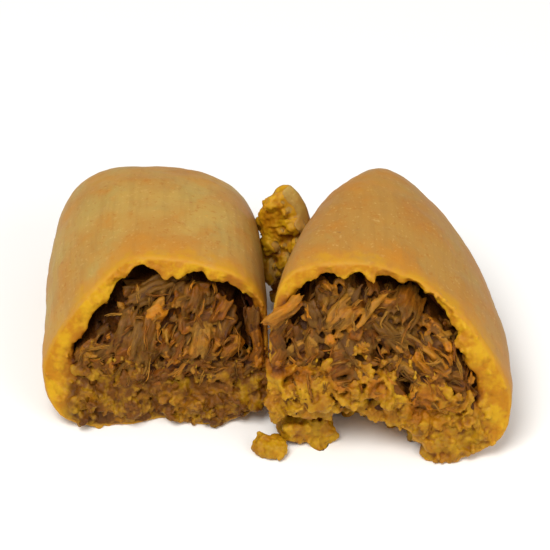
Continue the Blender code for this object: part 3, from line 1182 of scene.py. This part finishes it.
# %% Shreds: from threads to bent curves
line = step(shreds, "GeometryNodeResampleCurve",
            {"Curve": step(shreds, "GeometryNodeCurvePrimitiveLine",
                           {"Start": (-0.5, 0, 0), "End": (0.5, 0, 0)}),
             "Count": given.outputs["Steps"]})
long = times(shreds, stored_number(shreds, "length"), chance(shreds, 0.5, 1.0, 6))
stretch = step(shreds, "ShaderNodeCombineXYZ", {"X": long, "Y": 1.0, "Z": 1.0})
laid = step(shreds, "GeometryNodeInstanceOnPoints",
            {"Points": own, "Instance": line, "Rotation": turn, "Scale": stretch})
curves = step(shreds, "GeometryNodeRealizeInstances", {"Geometry": laid})
along = step(shreds, "GeometryNodeSplineParameter").outputs["Factor"]
from_middle = maths(shreds, "ABSOLUTE", maths(shreds, "MULTIPLY_ADD", along, 2.0, -1.0))
here = step(shreds, "GeometryNodeInputPosition")


def wander(tree, seed, wavelength, height, detail=1.0):
    """A vector that wanders with the place, different for each seed."""
    aside = step(tree, "ShaderNodeCombineXYZ", {"X": seed, "Y": seed, "Z": 0.0})
    drift = step(tree, "ShaderNodeTexNoise", {"Vector": vectors(tree, "ADD", here, aside),
                                              "Scale": 1 / wavelength, "Detail": detail})
    return scaled(tree, vectors(tree, "SUBTRACT", drift.outputs["Color"], MID_GREY), height)


together = wander(shreds, stored_number(shreds, "tone"), 4.5 * MM,
                  times(shreds, given.outputs["Waviness"], 4.0), 2.0)
frayed = maths(shreds, "MULTIPLY_ADD", maths(shreds, "POWER", from_middle, 2.0), 3.0, 0.8)
apart = wander(shreds, stored_number(shreds, "own"), 1.8 * MM,
               times(shreds, given.outputs["Fray"], frayed), 2.0)
arc = times(shreds, stored_number(shreds, "bow"),
            maths(shreds, "SUBTRACT", 1.0, times(shreds, from_middle, from_middle)))
arched = step(shreds, "FunctionNodeRotateVector",
              {"Vector": step(shreds, "ShaderNodeCombineXYZ", {"X": 0.0, "Y": 0.0, "Z": arc}),
               "Rotation": turn})
wavy = vectors(shreds, "ADD", together, apart)
bent = step(shreds, "GeometryNodeSetPosition",
            {"Geometry": curves, "Offset": vectors(shreds, "ADD", wavy, arched)})

# %% [markdown]
# A thread is thinner at its ends and a little knotty. A five-sided profile swept along the curve
# is enough, because a thread is only a few tenths of a millimetre thick. The tree ends by storing
# what the finish needs.

# %% Shreds: from curves to meat
KNOT_WAVE = 1.1 * MM  # how far knots on a thread are apart
GRAIN_STRETCH = (0.12, 1.0, 1.0)  # draws streaks out along the thread

blunt = maths(shreds, "SQRT", maths(shreds, "SUBTRACT", 1.05,
                                    maths(shreds, "POWER", from_middle, 8.0)))
knotty = times(shreds, bumps(shreds, here, KNOT_WAVE), given.outputs["Knots"])
knot = maths(shreds, "MULTIPLY_ADD", knotty, 0.5, 1.0)
uneven = maths(shreds, "MULTIPLY_ADD", stored_number(shreds, "own"), 0.8, 0.6)
thick = times(shreds, times(shreds, stored_number(shreds, "girth"), knot),
              times(shreds, blunt, uneven))
solid = step(shreds, "GeometryNodeCurveToMesh",
             {"Curve": bent, "Scale": thick, "Fill Caps": True,
              "Profile Curve": step(shreds, "GeometryNodeCurvePrimitiveCircle",
                                    {"Resolution": 5, "Radius": 1.0})})
centre = stored_number(shreds, "centre", "FLOAT_VECTOR")
local = step(shreds, "FunctionNodeRotateVector",
             {"Vector": vectors(shreds, "SUBTRACT", here, centre),
              "Rotation": step(shreds, "FunctionNodeInvertRotation", {"Rotation": turn})})
streaky = store(shreds, solid, "grain", vectors(shreds, "MULTIPLY", local, GRAIN_STRETCH),
                "FLOAT_VECTOR")
darker = maths(shreds, "SUBTRACT", stored_number(shreds, "tone"), 0.15)
shade = maths(shreds, "MULTIPLY_ADD", stored_number(shreds, "own"), 0.3, darker)
shaded = store(shreds, streaky, "shade", step(shreds, "ShaderNodeClamp", {"Value": shade}))
end_tree(shreds, step(shreds, "GeometryNodeSetShadeSmooth", {"Geometry": shaded}), shred_finish)

# %% [markdown]
# Cooked beef is sticky: shreds that lie on each other melt into soft masses, and only the last
# thin threads stay loose. `melt` remeshes overlapping shreds into one body, and this tree carries
# the shreds' attributes over to the new skin.

# %% The tree that carries attributes over
carry, given = new_tree("carry", Source="NodeSocketObject")
source = step(carry, "GeometryNodeObjectInfo", {"Object": given.outputs["Source"]},
              transform_space="RELATIVE").outputs["Geometry"]
carried = given.outputs["Geometry"]
for label, kind in (("shade", "FLOAT"), ("hue", "FLOAT"), ("grain", "FLOAT_VECTOR")):
    found = step(carry, "GeometryNodeSampleNearestSurface",
                 {"Mesh": source, "Value": stored_number(carry, label, kind)}, data_type=kind)
    carried = store(carry, carried, label, socket(found.outputs, "Value"), kind)
end_tree(carry, carried)

MELT_FACE = 0.29 * MM  # face size of the fused shreds


def melt(piece, rounds=2):
    """Fuses overlapping shreds into one body, and keeps their attributes."""
    before = linked("before", piece.data.copy())
    even_skin(piece, MELT_FACE, rounds)
    run_tree(piece, carry, Source=before)
    bpy.data.objects.remove(before)
    find_grains(piece, rounds=6)


# %% [markdown]
# ## The beef's finish
#
# The meat is brown: painted shade in the grooves, pale tan on dry threads, greyish where the
# fibres are dense and orange where chilli sauce and fat cling. It is satin with wetter patches.

# %% Beef finish
LEAN, LEAN_SAUCED = srgb(98, 64, 16), srgb(118, 64, 6)
FIBRE, FIBRE_SAUCED = srgb(146, 102, 32), srgb(176, 108, 16)
# The darkest tone is darker meat, and also painted shade where deep shreds and the core get low
# tones.
DARK_MEAT_AND_SHADE, GROOVE_SHADE = srgb(60, 28, 2), srgb(48, 19, 1)

sauced_beef, given = new_effect(
    "sauced_beef", {"Where": "v", "Grain": "v", "Tone": "f", "Hue": "f", "Raised": "f"},
    {"Colour": "c", "Wetness": "f", "Height": "f"})
where = given.outputs["Where"]
streaks = noise(sauced_beef, given.outputs["Grain"], 0.42 * MM, 2.0, 0.6)
tone = maths(sauced_beef, "ADD", given.outputs["Tone"],
             maths(sauced_beef, "MULTIPLY_ADD", streaks, 0.7, -0.35))
sauce = ramp(sauced_beef, noise(sauced_beef, where, 3.0 * MM, 3.0), 0.38, 0.64)
own_hue = maths(sauced_beef, "MULTIPLY_ADD", given.outputs["Hue"], 0.9, -0.38)
hue = step(sauced_beef, "ShaderNodeClamp",
           {"Value": maths(sauced_beef, "MULTIPLY_ADD", sauce, 0.6, own_hue)})
middling = blend(sauced_beef, hue, LEAN, LEAN_SAUCED)
pale = blend(sauced_beef, hue, FIBRE, FIBRE_SAUCED)
meat = blend(sauced_beef, ramp(sauced_beef, tone, 0.0, 0.5), DARK_MEAT_AND_SHADE, middling)
meat = blend(sauced_beef, ramp(sauced_beef, tone, 0.45, 1.0), meat, pale)
# Painted shade in the grooves between fibres.
groove_shade = ramp(sauced_beef, given.outputs["Raised"], 0.1, -1.0)
meat = blend(sauced_beef, times(sauced_beef, groove_shade, 0.7), meat, GROOVE_SHADE)
wet = maths(sauced_beef, "MULTIPLY_ADD", sauce, -0.16, 0.60)
step(sauced_beef, "NodeGroupOutput", {"Colour": meat, "Wetness": wet, "Height": streaks})


def finish_like_beef(finish, tone, hue):
    """Fills in a beef material. Tone and hue are numbers, or read from the shreds when None."""
    tree, shader, where = start_finish(finish)
    grain = step(tree, "ShaderNodeAttribute", attribute_name="grain").outputs["Vector"]
    sauced = effect(tree, sauced_beef, Where=where, Grain=where if tone is not None else grain,
                    Tone=stored(tree, "shade") if tone is None else tone,
                    Hue=stored(tree, "hue") if hue is None else hue,
                    Raised=stored(tree, "raised"))
    tree.links.new(sauced.outputs["Colour"], shader.inputs["Base Color"])
    tree.links.new(sauced.outputs["Wetness"], shader.inputs["Roughness"])
    bump = step(tree, "ShaderNodeBump",
                {"Height": sauced.outputs["Height"], "Strength": 0.6, "Distance": 0.2 * MM})
    tree.links.new(bump.outputs["Normal"], shader.inputs["Normal"])
    let_light_in(shader, share=0.12, depth=0.8 * MM, warmth=(1.0, 0.35, 0.12), shine=0.15)


finish_like_beef(shred_finish, tone=None, hue=None)
# The core's low tone is painted shade on the beef behind the shreds.
finish_like_beef(core_finish, tone=0.12, hue=0.4)
for core in cores.values():
    dress(core, core_finish)

# %% [markdown]
# ## Where each shred lies
#
# Shreds follow the way the meat was packed: steep in some places, slanting in others. Each half
# has a few anchors that say which way the fibres run there, and a shred takes its direction from
# the anchors near it, give or take.

# %% Directions of the fibres
ANCHORS = {
    "blunt": [(-30, 10, 55), (-28, 3, 75), (-24, 14, 30), (-16, 3, 80), (-14, 11, 75),
              (-8, 8, 70), (-30, -5, 20), (-15, -5, 8), (-8, -2, 25)],
    "tapered": [(2, 9, 30), (8, 9, 105), (14, 8, 50), (21, 9, 51), (28, 11, 60), (24, 4, -50),
                (33, 0, -45), (36, -4, -48), (20, -2, -25), (10, -2, -60), (3, 1, 70)],
}


ANCHOR_REACH = 2  # mm within which an anchor rules alone


def fibre_angle(anchors, across, up):
    """The direction of the fibres at a place, in radians from level."""
    double_x = double_y = 0
    for x, y, degrees in anchors:
        weight = 1 / (ANCHOR_REACH ** 2 + (x - across) ** 2 + (y - up) ** 2)
        double_x += weight * math.cos(2 * math.radians(degrees))
        double_y += weight * math.sin(2 * math.radians(degrees))
    return math.atan2(double_y, double_x) / 2


def lay_direction(normal, angle, tilt):
    """The turn of a shred that lies on a surface at an angle, tilted out of it."""
    level = Vector((1, 0, 0)) * math.cos(angle) + seen_up * math.sin(angle)
    flat = (level - normal * level.dot(normal)).normalized()
    run = (flat * math.cos(tilt) + normal * math.sin(tilt)).normalized()
    side = normal.cross(run).normalized()
    return Matrix((run, side, run.cross(side))).transposed().to_quaternion()


# %% [markdown]
# A `Shred` holds what the tree needs for one bundle. The layout throws places at random over the
# beef's front and drops those in a hollow or too close to another of the same layer. Deep, wide
# bundles come first, then narrower ones, then short bits. The large pieces that catch the eye are
# listed one by one. The random numbers have a fixed seed, so the tamale comes out the same each
# time.

# %% Describe the shreds
@dataclass
class Shred:
    """One bundle of beef threads. Sizes are in metres."""
    place: Vector
    turn: object
    length: float
    width: float
    thickness: float
    girth: float
    threads: int
    tone: float
    hue: float
    bow: float


@dataclass
class Layer:
    """One layer of shreds: ranges in millimetres, angles in degrees."""
    spacing: float
    lift: tuple
    length: tuple
    width: tuple
    thickness: tuple
    girth: tuple
    tone: tuple
    stray: float
    tilt: float
    bow: tuple


# Deeper layers get lower tones: painted shade on the beef further in.
MELTED = [
    Layer(4.2, lift=(-2.6, -1.6), length=(7, 12), width=(3.0, 4.5), thickness=(1.8, 2.6),
          girth=(0.38, 0.50), tone=(0.05, 0.35), stray=25, tilt=8, bow=(-0.3, 0.6)),
    Layer(3.3, lift=(-1.5, -0.5), length=(5, 9), width=(1.8, 3.4), thickness=(1.2, 1.9),
          girth=(0.30, 0.40), tone=(0.15, 0.6), stray=25, tilt=12, bow=(-0.3, 0.8)),
    Layer(2.5, lift=(-0.7, 0.2), length=(2.5, 6), width=(0.8, 1.9), thickness=(0.7, 1.2),
          girth=(0.22, 0.30), tone=(0.25, 0.85), stray=38, tilt=18, bow=(-0.3, 0.9)),
    Layer(2.2, lift=(-0.4, 0.3), length=(1.2, 2.8), width=(0.7, 1.4), thickness=(0.6, 1.0),
          girth=(0.24, 0.34), tone=(0.35, 0.95), stray=90, tilt=25, bow=(-0.2, 0.4)),
]
LOOSE = Layer(2.5, lift=(0.0, 0.2), length=(2.5, 6), width=(0.2, 0.9), thickness=(0.2, 0.4),
              girth=(0.08, 0.14), tone=(0.35, 0.9), stray=42, tilt=10, bow=(0.0, 0.9))
LARGE = {  # across, up, angle, length, width, thickness, lift, tone, hue
    "blunt": [(-25.9, 13.2, 30, 11.0, 4.0, 2.6, -0.2, 0.36, 0.0),
              (-25.1, 8.6, 20, 4.0, 3.0, 2.0, 0.7, 0.90, 0.8),
              (-28.2, 2.8, 75, 11.5, 5.6, 3.0, 0.1, 0.55, 0.2),
              (-32.0, 4.5, 70, 8.0, 3.0, 2.0, -0.1, 0.42, 0.1),
              (-15.8, 2.6, 78, 7.3, 4.4, 2.2, 0.5, 0.75, 0.3),
              (-20.0, 0.5, 77, 6.0, 0.8, 0.7, 1.5, 1.00, 0.7),
              (-5.1, 6.7, 80, 7.0, 2.5, 1.5, 0.1, 0.25, 0.5),
              (-30.0, -4.5, 22, 8.5, 1.7, 1.3, 0.8, 0.80, 0.7),
              (-11.5, 9.0, 60, 6.0, 2.6, 1.6, 0.2, 0.50, 0.9),
              (-17.5, 11.5, 75, 6.0, 3.0, 1.8, -0.2, 0.45, 0.6),
              (-3.9, 7.2, 75, 6.0, 2.4, 1.4, 0.2, 0.35, 0.5),
              (-3.3, 3.0, 85, 5.5, 2.2, 1.4, 0.2, 0.50, 0.6),
              (-3.6, -0.6, 60, 4.5, 2.4, 1.4, 0.2, 0.45, 0.8)],
    "tapered": [(20.6, 9.4, 51, 10.3, 1.6, 1.3, 1.0, 0.95, 0.5),
                (1.8, 9.6, 29, 9.7, 3.4, 1.8, 0.5, 0.78, 0.8),
                (8.0, 8.7, 110, 6.0, 2.5, 1.6, 0.3, 0.35, 0.0),
                (14.4, 8.1, 50, 7.0, 5.4, 2.0, 0.1, 0.75, 0.6),
                (28.0, 10.2, 60, 9.5, 6.4, 3.0, -0.4, 0.45, 0.5),
                (23.8, 4.4, -50, 8.0, 3.0, 1.8, 0.3, 0.50, 0.0),
                (33.2, -0.5, -45, 7.5, 1.2, 1.0, 0.5, 0.85, 0.5),
                (34.4, -2.6, -47, 7.0, 1.2, 1.0, 0.5, 0.65, 0.4),
                (31.6, -3.0, -43, 6.5, 1.1, 1.0, 0.5, 0.80, 0.6),
                (29.0, 2.6, -40, 7.0, 1.6, 1.2, 0.2, 0.60, 0.1),
                (13.3, -2.4, 20, 5.0, 4.6, 2.6, 0.2, 0.45, 1.0),
                (1.2, 5.8, 65, 5.0, 2.2, 1.4, 0.2, 0.40, 0.6),
                (0.6, 2.6, 100, 4.5, 2.4, 1.4, 0.1, 0.25, 0.5),
                (1.0, -0.6, 60, 5.0, 2.6, 1.5, 0.2, 0.45, 0.9),
                (3.0, 7.6, 40, 5.5, 2.0, 1.3, 0.5, 0.70, 0.4),
                (0.8, -3.4, 30, 4.0, 2.6, 1.6, 0.2, 0.50, 0.8)],
}


# %% [markdown]
# A sight line finds where each shred lies and which way the surface faces there. A shred that
# would reach into a hollow is shortened, as those hollows are what is left between the shreds.
# What the crumbled dough will hide isn't made at all.

# %% Lay the shreds out
BURIED = 6.0  # mm below the top of the crumbled dough where no shred would show
NEAR_END = 0.42  # of a shred's length from its middle, where hollows are looked for
DEEP_IN = 0.75  # a hollow's share above which an end reaches too far into it
SHORTER = 0.75  # of its length that such a shred keeps each time
CROWDED = 1.5  # threads per bundle, against what would fill its section
TOO_STEEP = 0.3  # beef faces less squarely to the viewer than this carry no shred
STOUT, SLIM, SLIM_WIDTH = 0.36, 0.26, 2  # thread girths of wide and slim shreds, in mm
ARCH = 0.5  # mm that the large shreds bow outward


def laid_shred(spot, normal, angle, sizes, tone, hue, bow, tilt=0.0):
    """A shred on a surface. Sizes are length, width, thickness, lift and girth, in mm."""
    length, width, thickness, lift, girth = sizes
    filling = width * thickness / (4 * girth ** 2)
    return Shred(place=spot + normal * lift * MM, turn=lay_direction(normal, angle, tilt),
                 length=length * MM, width=width * MM, thickness=thickness * MM,
                 girth=girth * MM, threads=max(2, round(CROWDED * filling)), tone=tone, hue=hue,
                 bow=bow * MM)


def random_shred(rng, spot, normal, angle, layer):
    """One shred of a layer, with its sizes drawn at random."""
    sizes = [rng.uniform(*limits) for limits in (layer.length, layer.width, layer.thickness,
                                                 layer.lift, layer.girth)]
    stray, tilt = (math.radians(rng.gauss(0, a)) for a in (layer.stray, layer.tilt))
    tone, hue, bow = rng.uniform(*layer.tone), rng.random(), rng.uniform(*layer.bow)
    return laid_shred(spot, normal, angle + stray, sizes, tone, hue, bow, tilt)


def shortened(shred, hollow):
    """Shortens a shred until neither end reaches far into a hollow."""
    for _ in range(4):
        reach = shred.turn @ Vector((NEAR_END * shred.length, 0, 0))
        ends = shred.place + reach, shred.place - reach
        if any(hollow.blocks(end, DEEP_IN) for end in ends):
            shred.length *= SHORTER
    return shred


def heap_top(half, across):
    """How high, in mm up as seen, the crumbled dough will cover the beef at a place."""
    return float(np.interp(across, *zip(*half.rubble)))


def lay_layer(rng, half, layer, target, tries=1600):
    """One layer of shreds over a surface, but none deep under the crumbled dough."""
    hollow = hollows_of[half.name]
    seen = all_as_seen(places(frame["nodes"][half.beef].data))
    (left, bottom), (right, top) = seen.min(axis=0), seen.max(axis=0)
    taken, laid = [], []
    for _ in range(tries):
        across, up = rng.uniform(left, right), rng.uniform(bottom, top)
        spot, normal = seen_at(target, across, up)
        if spot is None or normal.dot(to_viewer) < TOO_STEEP or hollow.blocks(spot):
            continue
        if any((spot - t).length < layer.spacing * MM for t in taken):
            continue
        taken.append(spot)
        angle = fibre_angle(ANCHORS[half.name], across, up)
        shred = shortened(random_shred(rng, spot, normal, angle, layer), hollow)
        if up > heap_top(half, across) - BURIED:
            laid.append(shred)
    return laid


def large_shreds(half, targets):
    """The large pieces that are listed one by one."""
    laid = []
    for across, up, degrees, length, width, thickness, lift, tone, hue in LARGE[half.name]:
        spot, normal = first_hit(targets, across, up)
        sizes = length, width, thickness, lift, STOUT if width > SLIM_WIDTH else SLIM
        laid.append(laid_shred(spot, normal, math.radians(degrees), sizes, tone, hue, ARCH))
    return laid


# %% [markdown]
# Now the beef can be made: all layers but the last are melted into one soft mass, then loose
# threads are laid on that mass.

# %% Make the beef
def shred_piece(name, laid, **settings):
    """Runs the shred tree on a list of shreds."""
    mesh = bpy.data.meshes.new(name)
    mesh.from_pydata([s.place for s in laid], [], [])
    piece = linked(name, mesh)
    write_values(piece, "turn", [tuple(s.turn) for s in laid], "QUATERNION")
    for key in ("length", "width", "thickness", "girth", "tone", "hue", "bow"):
        write_values(piece, key, [getattr(s, key) for s in laid])
    write_values(piece, "threads", [s.threads for s in laid], "INT")
    run_tree(piece, shreds, **settings)
    return piece


def finish_beef(piece, laid):
    """Gives a piece of shreds its finish and reports it."""
    dress(piece, shred_finish)
    print(piece.name, len(laid), "shreds,", triangles(piece), "triangles")


def make_beef(half):
    """The melted mass of shreds, and the loose threads on it."""
    rng = random.Random(half.seed)
    target = surface(frame["nodes"][half.beef])
    laid = [s for layer in MELTED for s in lay_layer(rng, half, layer, target)]
    laid += large_shreds(half, (target, surface(frame["nodes"][half.crust])))
    mass = shred_piece(f"beef_shreds_{half.name}", laid, Steps=12, Waviness=0.5 * MM,
                       Fray=0.32 * MM, Knots=0.3)
    melt(mass)
    finish_beef(mass, laid)
    loose = lay_layer(rng, half, LOOSE, surface(mass))
    strands = shred_piece(f"beef_threads_{half.name}", loose, Steps=9, Waviness=0.6 * MM,
                          Fray=0.5 * MM, Knots=0.8)
    finish_beef(strands, loose)
    return mass, strands


beef_pieces = {half.name: make_beef(half) for half in HALVES}

# %% [markdown]
# ## Crumbled dough over the beef
#
# When the tamale broke, dough from the bottom crumbled over the beef's lower edge. Lumps of many
# sizes lie there, thick at the bottom and scattered further up. One tree turns points into lumps.
# They are melted together like the crumbs, because they are still moist and sticky.

# %% The tree that makes lumps
lumps, given = new_tree("lumps", Unevenness=0.001)
seeds = step(lumps, "GeometryNodeMeshToPoints", {"Mesh": given.outputs["Geometry"]})
squash = chance_vector(lumps, (0.9, 0.7, 0.35), (1.7, 1.2, 0.7), 4)
lump = step(lumps, "GeometryNodeMeshUVSphere", LARGE_BALL)
thrown = step(lumps, "GeometryNodeInstanceOnPoints",
              {"Points": seeds, "Instance": lump,
               "Rotation": chance_vector(lumps, NO_TURN, FULL_TURN, 5),
               "Scale": scaled(lumps, squash, stored_number(lumps, "size"))})
heaped = step(lumps, "GeometryNodeRealizeInstances", {"Geometry": thrown})
uneven = knead(lumps, heaped, 1.6 * MM, given.outputs["Unevenness"], 4.0)
end_tree(lumps, uneven, dough_finish)

# %% [markdown]
# The heap follows the line where the dough starts. Lumps may be large in it, and above it only a
# few fine crumbs lie on the beef.

# %% Heap crumbled dough on the beef
LUMP_SPACING = 0.5  # of a lump's radius and its neighbour's together
SCATTER_UP = 5.0  # mm that single crumbs lie above the heap
HEAP_DEPTH = 10.0  # mm that the heap reaches down
UP_RANGE = (-16, 4)  # heights as seen, in mm, within which lumps fall
SCATTERED = 0.08  # share of lumps that stay just above the heap
SMALLEST, LARGEST_ABOVE = 0.5, 0.65  # radii in mm; the largest in the heap is the half's own
CROWD = 1.2  # above 1, small lumps outnumber large ones
SUNK = 0.3  # of its radius that a lump sinks in
CLEARANCE = 0.6  # of its radius that a lump keeps from a hollow
LOWEST = 2 * MM  # lumps below this height would lie on the table
LUMP_SEED = 100  # added to the half's seed
SOAKED_SHADE, SAUCED = 0.95, 0.1  # of the half's bottom darkening (soaked sauce and painted shade), and how much sauce is on every lump


def throw_lumps(half, targets, tries=8000):
    """Places and sizes of lumps: large and close in the heap, small and sparse above it."""
    rng = random.Random(half.seed + LUMP_SEED)
    laid = []
    for _ in range(tries):
        across = rng.uniform(half.rubble[0][0], half.rubble[-1][0])
        up = rng.uniform(*UP_RANGE)
        above = up - heap_top(half, across)
        kept_above = SCATTERED * (1 - above / SCATTER_UP)
        if above < -HEAP_DEPTH or (above > 0 and rng.random() > kept_above):
            continue
        largest = LARGEST_ABOVE if above > 0 else half.coarse
        size = (SMALLEST + (largest - SMALLEST) * rng.random() ** CROWD) * MM
        spot, normal = first_hit(targets, across, up)
        if spot is None or spot.z < LOWEST:
            continue
        if hollows_of[half.name].cave_distance(across, up) < CLEARANCE * size / MM:
            continue
        if all((spot - s).length > LUMP_SPACING * (size + r) for s, r in laid):
            laid.append((spot - normal * size * SUNK, size))
    return laid


def make_rubble(half):
    """The heap of crumbled dough on one half."""
    targets = [surface(beef_pieces[half.name][0]), surface(crusts[half.name]),
               surface(cores[half.name])]
    laid = throw_lumps(half, targets)
    mesh = bpy.data.meshes.new(f"dough_rubble_{half.name}")
    mesh.from_pydata([spot for spot, _ in laid], [], [])
    piece = linked(mesh.name, mesh)
    write_values(piece, "size", [size for _, size in laid])
    run_tree(piece, lumps, Unevenness=1.9 * MM)
    even_skin(piece, CRUMB_FACE, 1)
    count = len(piece.data.vertices)
    for name, value in (("torn", 1), ("low", 1), ("to_break", 0), ("damp", SOAKED_SHADE * half.damp)):
        write_values(piece, name, np.full(count, value))
    write_values(piece, "stain", sauce_share(piece, half, np.full(count, SAUCED)))
    run_tree(piece, relief, Wide=3 * MM, Deep=0.3 * MM, Grain=0.95 * MM, Height=0.6 * MM,
             Dent=0.0, Top=1.0)
    find_grains(piece)
    dress(piece, dough_finish)
    print(piece.name, len(laid), "lumps,", triangles(piece), "triangles")
    return piece


rubble = {half.name: make_rubble(half) for half in HALVES}

# %% [markdown]
# ## The torn pieces
#
# A torn strip of crust stands in the gap behind, and two lumps of dough lie in front. They are
# torn dough, with crumbs and relief like the torn faces of the crusts, and share their finish.
# Only the strip's back and right side still have skin.

# %% Make the torn pieces
OWN_SKIN = 20 * MM  # the distance to the break that whole skin is given, so that it stays tan
STRIP_SKIN = tuple(Vector(way).normalized() for way in ((0.88, -0.15, 0.45),
                                                        (0.15, 0.95, 0.25)))
FACES_OUT = (0.25, 0.65)  # how squarely a face looks that way where skin starts, and is whole
DAMP_SHADE_HEIGHTS = (8 * MM, 24 * MM)  # darker below the first (soaked sauce and painted shade), not darkened above the second
FIRST_TORN_FACE, TORN_FACE = 0.4 * MM, 0.29 * MM  # face sizes before and after the crumbs


def map_torn(piece, skin_ways, damp):
    """Stores what the relief and the finish need to know at each vertex of a torn piece."""
    count = len(piece.data.vertices)
    torn = np.ones(count)
    for way in skin_ways:
        facing = facings(piece.data) @ np.array(way)
        torn = np.minimum(torn, 1 - smooth_between(facing, *FACES_OUT))
    write_values(piece, "torn", torn)
    write_values(piece, "low", np.ones(count))
    write_values(piece, "stain", np.zeros(count))
    write_values(piece, "to_break", OWN_SKIN * (1 - smooth_between(torn, 0.0, 0.15)))
    # Torn pieces are darker low down: soaked sauce and painted shade.
    height = places(piece.data)[:, 2]
    write_values(piece, "damp", damp * (1 - smooth_between(height, *DAMP_SHADE_HEIGHTS)))


def make_torn(node, seed, skin_ways, damp):
    """Grows a torn piece of dough from its solid."""
    piece = merged_copy(node, f"masa_{node}")
    even_skin(piece, FIRST_TORN_FACE, 4)
    map_torn(piece, skin_ways, damp)
    run_tree(piece, crumbs, Density=0.22e6, Smallest=0.4 * MM, Largest=3.2 * MM, Top=1.0,
             Seed=seed)
    even_skin(piece, TORN_FACE, 2)
    map_torn(piece, skin_ways, damp)
    run_tree(piece, relief, Wide=3.4 * MM, Deep=0.8 * MM, Grain=1.15 * MM, Height=0.45 * MM,
             Dent=0.4 * MM, Top=1.0)
    stand_on_table(piece)
    find_grains(piece)
    dress(piece, dough_finish)
    print(piece.name, triangles(piece), "triangles")
    return piece


torn_pieces = {node: make_torn(node, seed, skin_ways, damp) for node, seed, skin_ways, damp in (
    ("torn_crust_strip", 40, STRIP_SKIN, 0.35),
    ("dough_lump_wide", 41, (), 0.35),
    ("dough_lump_small", 42, (), 0.3))}

# %% [markdown]
# ## The floor, and hiding the solids that the pieces replace
#
# Every piece rides on the one body, and the solid it replaces is hidden.

# %% Lay the floor
FLOOR = 3.0  # half its width in metres
CORNERS = ((-FLOOR, -FLOOR, 0), (FLOOR, -FLOOR, 0), (FLOOR, FLOOR, 0), (-FLOOR, FLOOR, 0))
floor_mesh = bpy.data.meshes.new("floor")
floor_mesh.from_pydata(CORNERS, [], [(0, 1, 2, 3)])
floor = linked("floor", floor_mesh)
floor_finish = bpy.data.materials.new("pale_floor")
tree, shader, where = start_finish(floor_finish)
shader.inputs["Base Color"].default_value = (0.86, 0.86, 0.85, 1)
shader.inputs["Roughness"].default_value = 0.7
floor_mesh.materials.append(floor_finish)
floor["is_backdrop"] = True


def declare(piece, node):
    """Puts a piece on the root body and hides the solid it replaces."""
    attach(piece, "root")
    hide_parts(node)


for half in HALVES:
    declare(crusts[half.name], half.crust)
    declare(rubble[half.name], half.crust)
    declare(cores[half.name], half.beef)
    for piece in beef_pieces[half.name]:
        declare(piece, half.beef)
for node, piece in torn_pieces.items():
    declare(piece, node)

# %% Measure, and finish
bpy.context.view_layer.update()
low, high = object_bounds()
print("the finished pieces span, in mm:", [round(s / MM, 1) for s in high - low])
print("triangles in all:", sum(triangles(o) for o in bpy.context.scene.objects
                               if o.type == "MESH" and not o.hide_render))
